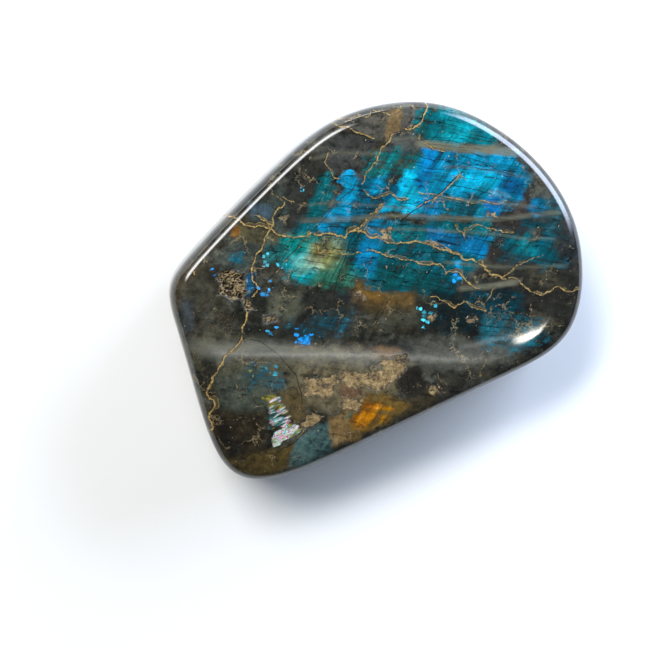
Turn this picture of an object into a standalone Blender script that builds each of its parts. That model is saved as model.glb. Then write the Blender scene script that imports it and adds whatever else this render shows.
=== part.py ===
"""A polished labradorite freeform, lying on its flat back: one piece of stone.

The stone is a slab ground to a rounded outline. Its front is a little domed, with a second, gently
sloping plane along its lower left, and it rolls over a narrow shoulder into nearly upright side walls. Two
weathered spots that the polish never reached are left in the front: a rough vug and a shallow chalky scar.

Units are metres and +Z is up. The origin is the centre of the bounding box's underside, +X runs along the
straight sawn edge, which is the longest way across, and +Z points out of the polished front.
"""

import bmesh
import bpy
import numpy as np
from mathutils import Matrix, Vector, noise

MM = 0.001

# Heights of the slab, in millimetres above the surface that it lies on.
THICKNESS = 23.0
GIRDLE_HEIGHT = 10.0

# The outline is a closed cubic B-spline. These are its control points in millimetres, counter-clockwise
# from the left end of the straight sawn edge, so the curve itself runs a little inside them.
OUTLINE = (
    (-20, -36), (0, -36), (18, -36), (32, -36.2), (40.4, -32.3), (46.4, -23.5), (50, -12.8), (50.3, -3),
    (47.8, 7.9), (42.3, 18.6), (34.4, 28), (24.5, 33.7), (13, 36.2), (3, 35.9), (-10, 31.8), (-24, 26.6),
    (-37, 21.4), (-44.5, 17.4), (-45.8, 7), (-48, -6), (-50.2, -19), (-49.8, -30), (-41, -35.9),
)
SPANS_PER_POINT = 5

# Share of the way from the centre to the rim that each shoulder takes up, and how square its curve is.
FRONT_SHOULDER = 0.15
FRONT_INWARD_POWER = 3.2
FRONT_UPWARD_POWER = 6.0
BACK_SHOULDER = 0.13
BACK_POWER = 2.6

# The front's relief, in millimetres: its dome, the slope of its second plane and the hand polisher's waves.
DOME = 1.3
HALF_LENGTH = 50.0
HALF_WIDTH = 36.0
RIDGE_POINT = (-44.8, 2.1)
RIDGE_DOWNHILL = (-0.458, -0.889)
RIDGE_SLOPE = 0.05
RIDGE_SOFTNESS = 3.0
WAVE_HEIGHT = 0.08
WAVE_LENGTHS = (13.0, 10.0)

# Rings of vertices from the rim inwards.
FRONT_SHOULDER_RINGS = 11
FRONT_FACE_RINGS = 9
BACK_SHOULDER_RINGS = 7

# Name, centre, length, width and turn in degrees of each spot that the polish left rough, and its depth.
PITS = (
    ("vug_cutter", (-29.8, 10.3), 7.6, 5.8, -22.0, 0.9),
    ("scar_cutter", (-19.0, -22.0), 12.5, 6.0, -12.0, 0.4),
)

# Each pit is cut by a lumpy ball: its half height over the pit's depth, its fineness and its lumps.
CUTTER_HEIGHT_RATIO = 1.5
CUTTER_SUBDIVISIONS = 3
LUMP_HEIGHT = 0.22
LUMP_SCALE = 2.3

STONE_COLOUR = (0.030, 0.042, 0.044, 1.0)
STONE_ROUGHNESS = 0.06


def clear_scene():
    """Removes what the startup file holds."""
    for obj in list(bpy.data.objects):
        bpy.data.objects.remove(obj)


def rim():
    """The outline as an array of points in millimetres, centred on its own bounding box."""
    control = np.array(OUTLINE, float)
    t = (np.arange(SPANS_PER_POINT) / SPANS_PER_POINT)[:, None]
    weights = (
        (1 - t) ** 3 / 6,
        (3 * t**3 - 6 * t**2 + 4) / 6,
        (-3 * t**3 + 3 * t**2 + 3 * t + 1) / 6,
        t**3 / 6,
    )
    spans = [
        sum(w * control[(i + k - 1) % len(control)] for k, w in enumerate(weights))
        for i in range(len(control))
    ]
    points = np.concatenate(spans)
    return points - (points.min(axis=0) + points.max(axis=0)) / 2


def face_height(x, y):
    """Height of the polished front at x, y, in millimetres."""
    dome = DOME * ((x / HALF_LENGTH) ** 2 + (y / HALF_WIDTH) ** 2)
    downhill = (x - RIDGE_POINT[0]) * RIDGE_DOWNHILL[0] + (y - RIDGE_POINT[1]) * RIDGE_DOWNHILL[1]
    slope = RIDGE_SLOPE * RIDGE_SOFTNESS * np.logaddexp(0, downhill / RIDGE_SOFTNESS)
    waves = WAVE_HEIGHT * np.sin(x / WAVE_LENGTHS[0] + 0.6) * np.sin(y / WAVE_LENGTHS[1] - 0.4)
    return THICKNESS - dome - slope + waves


def front_rings(outline):
    """Rings of the front half from the rim to just short of the centre, each an array of 3D points."""
    shares = []
    for angle in np.radians(np.linspace(90, 0, FRONT_SHOULDER_RINGS + 1)):
        share = 1 - FRONT_SHOULDER + FRONT_SHOULDER * np.sin(angle) ** (2 / FRONT_INWARD_POWER)
        shares.append((share, np.cos(angle) ** (2 / FRONT_UPWARD_POWER)))
    inner = np.linspace(1 - FRONT_SHOULDER, 0, FRONT_FACE_RINGS + 1)[1:-1]
    shares += [(share, 1.0) for share in inner]
    rings = []
    for share, rise in shares:
        x, y = (outline * share).T
        z = GIRDLE_HEIGHT + (face_height(x, y) - GIRDLE_HEIGHT) * rise
        rings.append(np.column_stack([x, y, z]))
    return rings


def back_rings(outline):
    """Rings of the back half from just inside the rim to the edge of the flat back."""
    rings = []
    for angle in np.radians(np.linspace(90, 0, BACK_SHOULDER_RINGS + 1))[1:]:
        share = 1 - BACK_SHOULDER + BACK_SHOULDER * np.sin(angle) ** (2 / BACK_POWER)
        x, y = (outline * share).T
        z = np.full(len(x), GIRDLE_HEIGHT * (1 - np.cos(angle) ** (2 / BACK_POWER)))
        rings.append(np.column_stack([x, y, z]))
    return rings


def skin(bm, rings):
    """Faces between each ring of vertices and the next one."""
    for outer, inner in zip(rings, rings[1:]):
        for i in range(len(outer)):
            j = (i + 1) % len(outer)
            bm.faces.new((outer[i], outer[j], inner[j], inner[i]))


def stone_mesh():
    """The slab as one closed mesh: the front's rings, its centre, the back's rings and the flat back."""
    outline = rim()
    bm = bmesh.new()
    front = [[bm.verts.new(p * MM) for p in ring] for ring in front_rings(outline)]
    back = [[bm.verts.new(p * MM) for p in ring] for ring in back_rings(outline)]
    skin(bm, front)
    centre = bm.verts.new((0, 0, face_height(0, 0) * MM))
    last = front[-1]
    for i in range(len(last)):
        bm.faces.new((last[i], last[(i + 1) % len(last)], centre))
    skin(bm, [front[0]] + back)
    bm.faces.new(back[-1])
    bmesh.ops.recalc_face_normals(bm, faces=bm.faces[:])
    mesh = bpy.data.meshes.new("labradorite")
    bm.to_mesh(mesh)
    bm.free()
    mesh.shade_smooth()
    return mesh


def pit_cutter(name, centre, length, width, turn, depth):
    """A lumpy, flattened ball that dips into the front by depth. It is a guide, and is not shown."""
    half_height = CUTTER_HEIGHT_RATIO * depth
    middle_height = float(face_height(*centre)) + half_height - depth
    bm = bmesh.new()
    bmesh.ops.create_icosphere(bm, subdivisions=CUTTER_SUBDIVISIONS, radius=1.0)
    for vert in bm.verts:
        vert.co *= 1 + LUMP_HEIGHT * noise.noise(vert.co * LUMP_SCALE + Vector(centre).to_3d())
    stretch = Matrix.Diagonal((length / 2 * MM, width / 2 * MM, half_height * MM, 1))
    spin = Matrix.Rotation(np.radians(turn), 4, "Z")
    place = Matrix.Translation(Vector((centre[0], centre[1], middle_height)) * MM)
    bmesh.ops.transform(bm, matrix=place @ spin @ stretch, verts=bm.verts[:])
    bmesh.ops.recalc_face_normals(bm, faces=bm.faces[:])
    mesh = bpy.data.meshes.new(name)
    bm.to_mesh(mesh)
    bm.free()
    cutter = bpy.data.objects.new(name, mesh)
    bpy.context.scene.collection.objects.link(cutter)
    cutter.hide_render = True
    cutter.display_type = "WIRE"
    return cutter


def polished_stone():
    """Dark labradorite with a glossy polish."""
    material = bpy.data.materials.new("polished_labradorite")
    material.use_nodes = True
    shader = material.node_tree.nodes["Principled BSDF"]
    shader.inputs["Base Color"].default_value = STONE_COLOUR
    shader.inputs["Roughness"].default_value = STONE_ROUGHNESS
    shader.inputs["Metallic"].default_value = 0.0
    material.diffuse_color = STONE_COLOUR
    return material


def main():
    clear_scene()
    mesh = stone_mesh()
    mesh.materials.append(polished_stone())
    stone = bpy.data.objects.new("labradorite", mesh)
    bpy.context.scene.collection.objects.link(stone)
    for pit in PITS:
        cut = stone.modifiers.new(pit[0], "BOOLEAN")
        cut.operation = "DIFFERENCE"
        cut.solver = "EXACT"
        cut.object = pit_cutter(*pit)


main()
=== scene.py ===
"""Dresses the polished labradorite: its fine surface, its markings, a plain studio and the camera.

The stone is one piece. Its surface follows the CAD solid's own formulas at a finer spacing, the patches of
colour and the veins are laid out as attributes of that surface, and one material turns them into stone.
Sizes are in millimetres where a name says mm, and places in the photograph are in pixels of its 650 x 650.
"""

import logging
import math
from dataclasses import dataclass, field
from enum import Enum
from typing import Any, Sequence

import bmesh
import bpy
import numpy as np
from mathutils import Matrix, Vector, noise


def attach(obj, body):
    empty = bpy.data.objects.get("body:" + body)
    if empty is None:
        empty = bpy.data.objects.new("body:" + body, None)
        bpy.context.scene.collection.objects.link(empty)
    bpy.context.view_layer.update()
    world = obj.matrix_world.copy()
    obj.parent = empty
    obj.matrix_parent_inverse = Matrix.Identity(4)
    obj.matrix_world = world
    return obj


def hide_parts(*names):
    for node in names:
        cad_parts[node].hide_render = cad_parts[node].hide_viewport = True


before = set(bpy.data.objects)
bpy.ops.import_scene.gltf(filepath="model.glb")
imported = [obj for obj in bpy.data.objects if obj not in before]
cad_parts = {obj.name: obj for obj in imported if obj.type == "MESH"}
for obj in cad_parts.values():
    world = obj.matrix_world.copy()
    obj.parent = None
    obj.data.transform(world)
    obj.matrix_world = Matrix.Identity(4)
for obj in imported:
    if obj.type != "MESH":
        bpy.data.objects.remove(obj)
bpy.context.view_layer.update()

MM = 0.001
STONE_NODE = "labradorite"

# What the identifiers of nodes other than shader nodes begin with.
OTHER_KINDS = ("Geometry", "Function", "NodeGroup")

# The least cover that a patch's colour is divided by, so that it is never divided by nothing.
LEAST_COVER = 0.02

Tree = bpy.types.NodeTree
Pixel = tuple[float, float]
Span = tuple[float, float]
Size = tuple[float, float, float]
Stop = tuple[float, str]
log = logging.getLogger("labradorite")


def linear(hex_colour: str) -> tuple[float, float, float, float]:
    """Turns an sRGB hex colour into linear light.

    Args:
        hex_colour: The colour, as "#rrggbb".

    Returns:
        Red, green, blue and an alpha of 1.
    """
    shares = [int(hex_colour[i:i + 2], 16) / 255 for i in (1, 3, 5)]
    light = [s / 12.92 if s <= 0.04045 else ((s + 0.055) / 1.055) ** 2.4 for s in shares]
    return (*light, 1.0)


def add(tree: Tree, kind: str, *values: Any, out: Any = 0, stops: Sequence[Stop] = (), **named: Any) -> Any:
    """Adds a node with its settings and links.

    Args:
        tree: The tree that the node goes into.
        kind: Blender's identifier for the node, without "ShaderNode" where it begins so, and its operation.
        *values: For its inputs in order, as far as its settings use them: values, or outputs to link.
        out: The name or place of the output wanted.
        stops: A colour ramp's positions and colours.
        **named: The node's own properties, and inputs by their names, which have capitals.

    Returns:
        The output wanted, or None for a node that has no outputs.
    """
    kind, _, operation = kind.partition(" ")
    node = tree.nodes.new(kind if kind.startswith(OTHER_KINDS) else "ShaderNode" + kind)
    if operation:
        node.operation = operation
    for name in [name for name in named if name.islower()]:
        setattr(node, name, named.pop(name))
    used = [socket for socket in node.inputs if socket.enabled]
    used = used[:len(values)] + [node.inputs[name] for name in named]
    for socket, value in zip(used, [*values, *named.values()]):
        if isinstance(value, bpy.types.NodeSocket):
            tree.links.new(value, socket)
        else:
            socket.default_value = value
    for _ in stops[2:]:
        node.color_ramp.elements.new(1.0)
    for place, (position, colour) in enumerate(stops):
        node.color_ramp.elements[place].position = position
        node.color_ramp.elements[place].color = linear(colour)
    if isinstance(out, str):
        return node.outputs[out]
    return next((socket for socket in list(node.outputs)[out:] if socket.enabled), None)


def smooth(low: float, high: float, values: np.ndarray) -> np.ndarray:
    """Rises smoothly from 0 at low to 1 at high.

    Args:
        low: Where the rise begins.
        high: Where the rise ends.
        values: The values to look up.

    Returns:
        One share between 0 and 1 for each value.
    """
    share = np.clip((values - low) / (high - low), 0.0, 1.0)
    return share * share * (3.0 - 2.0 * share)


def evenly(points: np.ndarray, count: int, closed: bool) -> np.ndarray:
    """Spaces points evenly along a line.

    Args:
        points: The line's own points, one row each.
        count: How many points to return.
        closed: Whether the line returns to its first point.

    Returns:
        The evenly spaced points. A closed line's last point is just short of its first.
    """
    line = np.vstack([points, points[:1]]) if closed else points
    reach = np.concatenate([[0.0], np.cumsum(np.linalg.norm(np.diff(line, axis=0), axis=1))])
    wanted = np.linspace(0.0, reach[-1], count + 1)[:-1] if closed else np.linspace(0.0, reach[-1], count)
    return np.column_stack([np.interp(wanted, reach, column) for column in line.T])


class Layer(Enum):
    """What a patch puts into the stone."""

    TINT = "tint"
    FLASH = "flash"
    # Haze, partly a painted reflection.
    HAZE_AND_REFLECTION = "haze_and_painted_reflection"
    CRUST = "crust"
    SILVER = "silver"
    PIT = "pit"
    SPARK = "spark"


class Side(Enum):
    """The side of the slab that a patch shows on: the sign of that side's normal along Z."""

    FRONT = 1
    BACK = -1


class Filling(Enum):
    """What a vein or crack is filled with, as the name of its attribute."""

    PALE = "pale_vein"
    PALE_CROSSING = "pale_vein_crossing"
    DARK = "dark_crack"
    SMOKY = "smoky_seam"


@dataclass(frozen=True)
class Viewpoint:
    """Where the photograph was taken from, and how its pixels map to the stone's face."""

    aim_mm: Size = (-14.4, -5.9, 22.0)
    distance_mm: float = 420.0
    tilt_deg: float = 8.0
    tilt_towards_deg: float = 135.0
    sawn_edge_rise_deg: float = 24.8
    focal_px: float = 1811.0
    picture_px: float = 650.0
    sensor_mm: float = 36.0

    def heading(self, angle_deg: float) -> np.ndarray:
        """Turns a direction in the photograph into one on the table.

        Args:
            angle_deg: The direction, anticlockwise from the photograph's right.

        Returns:
            A unit vector along X and Y, with 0 for Z.
        """
        angle = math.radians(angle_deg - self.sawn_edge_rise_deg)
        return np.array([math.cos(angle), math.sin(angle), 0.0])

    def axes(self) -> tuple[np.ndarray, np.ndarray, np.ndarray]:
        """The camera's own right, up and backward directions."""
        tilt = math.radians(self.tilt_deg)
        back = self.heading(self.tilt_towards_deg) * math.sin(tilt) + np.array([0, 0, math.cos(tilt)])
        right = np.cross(self.heading(90.0), back)
        right /= np.linalg.norm(right)
        return right, np.cross(back, right), back

    def place_mm(self) -> np.ndarray:
        """Where the camera is."""
        return np.array(self.aim_mm) + self.axes()[2] * self.distance_mm

    def on_face(self, pixels: Sequence[Pixel]) -> np.ndarray:
        """Finds what the photograph's pixels show on the plane through the polished face.

        Args:
            pixels: Places in the photograph.

        Returns:
            Their X and Y in millimetres, one row each.
        """
        right, up, back = self.axes()
        offsets = np.array(pixels, float) - self.picture_px / 2
        rays = offsets[:, :1] * right - offsets[:, 1:] * up - self.focal_px * back
        place = self.place_mm()
        reach = (self.aim_mm[2] - place[2]) / rays[:, 2:]
        return (place + rays * reach)[:, :2]

    def make_camera(self) -> bpy.types.Object:
        """Adds the camera and makes it the scene's own."""
        right, up, back = self.axes()
        data = bpy.data.cameras.new("photograph_view")
        data.sensor_width = self.sensor_mm
        data.lens = self.focal_px / self.picture_px * self.sensor_mm
        data.clip_start = 0.01
        camera = bpy.data.objects.new("photograph_view", data)
        bpy.context.scene.collection.objects.link(camera)
        turn = Matrix([right, up, back]).transposed().to_4x4()
        camera.matrix_world = Matrix.Translation(Vector(self.place_mm() * MM)) @ turn
        bpy.context.scene.camera = camera
        return camera


@dataclass(frozen=True)
class Patch:
    """An area of one colour in the stone, outlined by pixels of the photograph."""

    layer: Layer
    side: Side
    outline: tuple[Pixel, ...]
    strength: float
    feather_px: float
    colour: str = "#000000"


@dataclass(frozen=True)
class Vein:
    """A healed crack that runs through the thickness of the stone, along pixels of the photograph."""

    path: tuple[Pixel, ...]
    width_px: float
    strength: float
    wander: float = 1.0
    filling: Filling = Filling.PALE


def patches(layer: Layer, side: Side, rows: Sequence[tuple[Any, ...]]) -> list[Patch]:
    """One layer's patches, from rows of their outline, strength, soft edge in pixels and colour."""
    return [Patch(layer, side, *row) for row in rows]


def read_layer(tree: Tree, layer: Layer) -> tuple[Any, Any]:
    """Reads a layer of patches back from the mesh.

    Args:
        tree: The material's tree.
        layer: The layer.

    Returns:
        Its colour, and how strongly it covers the surface.
    """
    mixed = add(tree, "Attribute", attribute_name=layer.value)
    share = mixed.node.outputs["Alpha"]
    safe = add(tree, "Math MAXIMUM", share, LEAST_COVER)
    safe = add(tree, "Math DIVIDE", 1.0, safe)
    return add(tree, "VectorMath SCALE", mixed, safe), share


# Tones of the ground mass.
TINTS = patches(Layer.TINT, Side.FRONT, (
    (((215, 262), (262, 205), (300, 170), (322, 185), (300, 230), (268, 262), (236, 280)), 0.7, 16,
     "#465049"),
    (((172, 300), (186, 270), (216, 262), (216, 300), (236, 312), (230, 340), (184, 350)), 0.7, 16,
     "#3f3a2c"),
    (((186, 333), (230, 337), (300, 342), (350, 350), (345, 366), (290, 366), (240, 374), (205, 374)), 0.7,
     14, "#5f5c48"),
    (((292, 350), (345, 348), (398, 352), (412, 366), (398, 392), (372, 402), (330, 410), (300, 402)), 0.85,
     12, "#7a6e50"),
    (((212, 378), (262, 372), (276, 392), (262, 412), (222, 414)), 0.75, 12, "#4f5648"),
    (((205, 408), (262, 414), (268, 440), (250, 466), (216, 462)), 0.8, 12, "#332917"),
    (((222, 462), (262, 452), (298, 446), (312, 462), (262, 482)), 0.9, 8, "#5a4a24"),
    (((276, 388), (294, 380), (303, 396), (305, 414), (298, 424), (287, 414), (278, 402)), 0.85, 8,
     "#625230"),
    (((285, 165), (330, 150), (334, 178), (312, 218), (305, 236), (286, 226)), 0.8, 9, "#2a2822"),
    (((318, 130), (378, 142), (372, 168), (350, 185), (322, 168)), 0.85, 9, "#41423d"),
    (((330, 124), (362, 115), (388, 112), (389, 132), (380, 142), (358, 134)), 0.9, 2.5, "#57544a"),
    (((389, 110), (401, 110), (401, 130), (386, 142), (387, 126)), 0.85, 2.5, "#7a6442"),
    (((402, 104), (430, 104), (420, 119), (415, 129), (402, 130)), 0.9, 2.5, "#55524a"),
    (((385, 142), (402, 132), (420, 132), (424, 146), (400, 158), (378, 160)), 0.8, 8, "#3a4346"),
    (((396, 140), (430, 138), (424, 150), (392, 152)), 0.5, 6, "#5c5a4e"),
    (((225, 222), (262, 224), (284, 236), (268, 244), (240, 240)), 0.8, 7, "#5a5236"),
    (((248, 200), (268, 203), (272, 216), (252, 214)), 0.6, 6, "#4a6270"),
    (((232, 228), (240, 227), (241, 234), (233, 235)), 0.7, 3, "#a56a1e"),
    (((502, 196), (528, 186), (536, 210), (528, 240), (500, 262), (484, 256), (490, 226)), 0.95, 9,
     "#302c28"),
    (((510, 200), (524, 196), (528, 216), (514, 222)), 0.7, 5, "#4c4540"),
    (((510, 262), (585, 240), (585, 330), (548, 316), (505, 296)), 0.85, 10, "#26251f"),
    (((524, 266), (556, 266), (560, 286), (532, 290)), 0.6, 10, "#4c4838"),
    (((550, 190), (575, 200), (585, 260), (562, 262)), 0.85, 9, "#262b2c"),
    (((476, 258), (520, 256), (508, 274), (492, 290), (478, 280)), 0.8, 8, "#302e28"),
    (((456, 286), (500, 280), (522, 280), (520, 284), (498, 287), (460, 292)), 0.8, 3, "#6a6454"),
    (((250, 288), (295, 292), (350, 312), (345, 345), (262, 345), (248, 318)), 0.7, 14, "#23241d"),
    (((266, 294), (300, 294), (306, 312), (282, 320), (268, 312)), 0.6, 12, "#6a6a55"),
    (((348, 282), (378, 280), (430, 290), (424, 308), (384, 316), (356, 306)), 0.9, 12, "#4e4024"),
    (((356, 286), (390, 285), (412, 292), (400, 302), (366, 300)), 0.7, 12, "#735826"),
    (((306, 296), (350, 288), (358, 310), (330, 330)), 0.7, 9, "#33342e"),
    (((336, 284), (352, 284), (352, 298), (338, 300)), 0.7, 6, "#262a30"),
    (((430, 284), (470, 282), (520, 290), (530, 316), (470, 334), (436, 326)), 0.85, 14, "#161c1a"),
    (((254, 362), (300, 358), (306, 380), (290, 392), (262, 392)), 0.6, 12, "#6e6950"),
    (((380, 286), (420, 284), (432, 300), (420, 330), (384, 330)), 0.6, 12, "#474636"),
    (((300, 296), (340, 296), (352, 320), (330, 340), (300, 330)), 0.6, 12, "#25261f"),
    (((350, 286), (376, 283), (412, 290), (416, 300), (384, 306), (356, 300)), 0.62, 16, "#7c5a24"),
    (((404, 340), (500, 342), (520, 356), (470, 376), (420, 372)), 0.85, 12, "#56574c"),
    (((416, 296), (448, 300), (450, 330), (422, 334)), 0.8, 12, "#1f2523"),
    (((398, 366), (420, 368), (428, 392), (408, 398), (398, 384)), 0.9, 6, "#26221c"),
    (((394, 398), (440, 390), (436, 408), (400, 422)), 0.8, 8, "#463b25"),
    (((440, 372), (500, 362), (480, 390), (440, 404)), 0.8, 9, "#3c3a30"),
    (((203, 358), (216, 356), (220, 368), (212, 382), (203, 374)), 0.8, 6, "#191a16"),
    (((214, 418), (226, 420), (238, 450), (232, 458), (218, 440)), 0.75, 6, "#15120c"),
    (((327, 416), (352, 408), (362, 420), (360, 440), (332, 450), (326, 436)), 0.95, 5, "#8a6e42"),
    (((316, 424), (327, 418), (330, 434), (334, 454), (314, 468), (292, 470), (290, 458), (304, 438)), 0.85,
     7, "#4e6c68"),
    (((358, 400), (384, 394), (410, 402), (386, 424), (354, 440), (352, 420)), 0.95, 6, "#725a28"),
    (((340, 386), (358, 385), (362, 396), (344, 400)), 0.85, 4, "#7a5c42"),
    (((372, 348), (398, 347), (400, 355), (376, 358)), 0.6, 4, "#8a602c"),
    (((160, 290), (172, 280), (196, 262), (202, 268), (182, 292), (174, 320), (166, 312)), 0.75, 8,
     "#4c4230"),
    (((178, 300), (190, 298), (196, 330), (184, 336)), 0.6, 8, "#46525a"),
    (((350, 412), (362, 408), (358, 418), (348, 420)), 0.7, 4, "#4c6a54"),
))

# Blocks of labradorescence.
FLASHES = patches(Layer.FLASH, Side.FRONT, (
    (((318, 176), (333, 176), (330, 198), (318, 218), (306, 216), (313, 194)), 0.9, 8, "#0e5054"),
    (((366, 160), (396, 150), (420, 150), (424, 166), (392, 176), (366, 182)), 0.6, 14, "#1f6666"),
    (((334, 196), (368, 176), (392, 176), (398, 200), (388, 216), (322, 220)), 0.9, 12, "#0c5068"),
    (((346, 177), (357, 178), (351, 196), (349, 218), (324, 218), (334, 200)), 1.0, 6, "#0b8ebc"),
    (((372, 178), (386, 176), (382, 192), (368, 194)), 0.9, 8, "#0b80a8"),
    (((420, 158), (440, 152), (514, 154), (530, 178), (516, 196), (498, 216), (414, 216), (404, 190)), 1.0,
     12, "#087496"),
    (((436, 160), (474, 156), (500, 160), (502, 186), (460, 192), (436, 184)), 0.9, 14, "#0a8cb4"),
    (((404, 172), (418, 170), (417, 192), (413, 213), (384, 213), (392, 200), (398, 188)), 1.0, 6,
     "#14aacc"),
    (((426, 150), (437, 151), (434, 178), (422, 190), (416, 180)), 1.0, 6, "#147cba"),
    (((440, 154), (456, 152), (452, 172), (440, 184)), 0.6, 7, "#2a4e60"),
    (((456, 172), (488, 172), (500, 192), (478, 192), (458, 188)), 0.6, 10, "#46b4d2"),
    (((486, 192), (508, 190), (506, 206), (488, 204)), 0.55, 8, "#7fb0cc"),
    (((498, 172), (526, 178), (520, 194), (500, 192)), 0.9, 8, "#085488"),
    (((426, 196), (446, 198), (440, 214), (420, 214)), 0.9, 6, "#086fa2"),
    (((446, 200), (484, 200), (480, 216), (444, 216)), 0.9, 6, "#11697c"),
    (((484, 198), (502, 198), (500, 214), (484, 214)), 0.9, 6, "#0a64a4"),
    (((414, 108), (446, 104), (480, 116), (500, 142), (478, 146), (440, 146), (418, 136)), 0.6, 8,
     "#1c5a5e"),
    (((428, 116), (446, 110), (472, 119), (496, 140), (478, 144), (440, 143), (430, 136)), 0.95, 8,
     "#12646e"),
    (((440, 122), (466, 122), (484, 138), (456, 143), (440, 136)), 0.5, 8, "#2a98a4"),
    (((300, 222), (360, 221), (490, 222), (486, 252), (452, 292), (380, 292), (346, 262), (300, 240)), 0.95,
     14, "#104e58"),
    (((378, 268), (420, 266), (444, 280), (440, 292), (384, 290)), 0.8, 14, "#134a4a"),
    (((388, 226), (424, 226), (424, 240), (390, 240)), 0.8, 10, "#0e6c74"),
    (((444, 222), (490, 222), (492, 236), (446, 232)), 0.8, 8, "#0f5a60"),
    (((320, 222), (341, 222), (341, 233), (323, 232)), 1.0, 7, "#0c7aa6"),
    (((364, 222), (390, 221), (384, 240), (358, 240)), 1.0, 7, "#0c749e"),
    (((428, 228), (486, 240), (484, 256), (462, 252), (440, 246), (426, 238)), 1.0, 7, "#0c6ea2"),
    (((359, 241), (378, 241), (374, 272), (358, 266)), 0.95, 8, "#0d78ac"),
    (((346, 262), (372, 262), (374, 276), (350, 274)), 0.7, 8, "#0e80a8"),
    (((306, 262), (350, 258), (362, 272), (340, 288), (304, 286)), 0.8, 16, "#2c5c4c"),
    (((304, 238), (336, 238), (346, 254), (330, 270), (302, 268)), 0.66, 16, "#767444"),
    (((280, 238), (306, 234), (330, 240), (300, 252), (280, 252)), 0.85, 8, "#1c726c"),
    (((286, 254), (303, 252), (313, 268), (311, 286), (292, 284), (283, 270)), 0.95, 10, "#1e9aa4"),
    (((288, 256), (306, 254), (312, 272), (298, 280)), 0.55, 12, "#8cb8a0"),
    (((304, 258), (316, 256), (318, 268), (306, 270)), 0.6, 7, "#a8b088"),
    (((266, 242), (288, 240), (288, 268), (270, 264)), 0.6, 9, "#285a5a"),
    (((502, 236), (562, 236), (560, 262), (504, 262)), 0.85, 16, "#0b4c58"),
    (((516, 240), (534, 240), (534, 253), (514, 253)), 0.65, 10, "#15828e"),
    (((528, 198), (544, 197), (545, 215), (533, 216)), 0.95, 8, "#106c98"),
    (((520, 218), (560, 218), (562, 234), (516, 232)), 0.65, 12, "#13404a"),
    (((530, 186), (562, 200), (566, 236), (546, 232)), 0.6, 14, "#2a464a"),
    (((462, 286), (520, 292), (516, 318), (470, 316)), 0.65, 14, "#0a303a"),
    (((430, 290), (462, 292), (470, 330), (440, 334)), 0.6, 14, "#0c2226"),
    (((482, 318), (540, 318), (546, 338), (510, 352), (482, 344)), 0.75, 14, "#225662"),
    (((362, 402), (376, 400), (384, 408), (370, 424), (360, 430), (356, 420)), 0.85, 18, "#a0701c"),
    (((362, 408), (374, 405), (378, 414), (366, 425), (358, 422)), 0.9, 12, "#cc8c1c"),
    (((453, 262), (461, 262), (460, 270), (453, 270)), 0.7, 4, "#1896cc"),
    (((450, 275), (458, 275), (458, 285), (451, 284)), 0.6, 5, "#148cc0"),
    (((266, 396), (279, 397), (283, 406), (268, 408)), 0.6, 5, "#a0983c"),
    (((268, 408), (288, 408), (292, 424), (270, 426)), 0.6, 6, "#4a8484"),
    (((298, 338), (309, 337), (310, 345), (299, 346)), 1.0, 3, "#1b8fe8"),
    (((242, 366), (275, 366), (278, 388), (246, 386)), 0.42, 18, "#2c505a"),
    (((234, 258), (242, 258), (242, 267), (234, 267)), 0.7, 8, "#2c6070"),
    (((244, 275), (254, 276), (254, 292), (246, 292)), 0.75, 6, "#27506c"),
    (((284, 322), (345, 316), (345, 330), (300, 336)), 0.45, 18, "#1e4450"),
))

# Where single grains are lit. The strength is the share of the grains there.
SPARKS = patches(Layer.SPARK, Side.FRONT, (
    (((295, 337), (310, 336), (311, 346), (296, 346)), 0.5, 4, "#1f96e8"),
    (((286, 326), (300, 328), (302, 338), (288, 338)), 0.15, 6, "#2288cc"),
    (((260, 327), (269, 327), (269, 335), (260, 335)), 0.28, 4, "#3cb0e0"),
    (((270, 330), (282, 333), (280, 343), (270, 340)), 0.12, 5, "#2c90d0"),
    (((262, 250), (269, 250), (270, 266), (263, 266)), 0.6, 3, "#62d8ec"),
    (((276, 258), (286, 260), (286, 270), (277, 270)), 0.45, 4, "#4cc4de"),
    (((250, 284), (270, 282), (270, 292), (252, 294)), 0.4, 6, "#38a4e8"),
    (((303, 187), (307, 187), (307, 191), (303, 191)), 0.6, 2, "#4cc4de"),
    (((209, 269), (217, 269), (217, 277), (209, 277)), 0.5, 3, "#2888d8"),
    (((448, 260), (461, 260), (460, 288), (450, 288)), 0.2, 4, "#1b8cd8"),
    (((418, 300), (436, 300), (434, 313), (426, 330), (418, 330)), 0.4, 5, "#48c8dc"),
    (((266, 364), (280, 364), (280, 376), (268, 376)), 0.45, 6, "#3fb2c4"),
    (((236, 366), (252, 366), (252, 382), (238, 382)), 0.3, 6, "#b8c870"),
))

# Haze inside the stone, and partly a painted reflection: a pale band along the ridge of the face.
HAZE_AND_REFLECTION_PATCHES = patches(Layer.HAZE_AND_REFLECTION, Side.FRONT, (
    (((190, 340), (215, 346), (270, 343), (300, 348), (366, 354), (398, 351), (398, 360), (366, 366),
      (300, 362), (270, 354), (222, 360), (192, 352)), 0.35, 14, "#80827a"),
))

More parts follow.
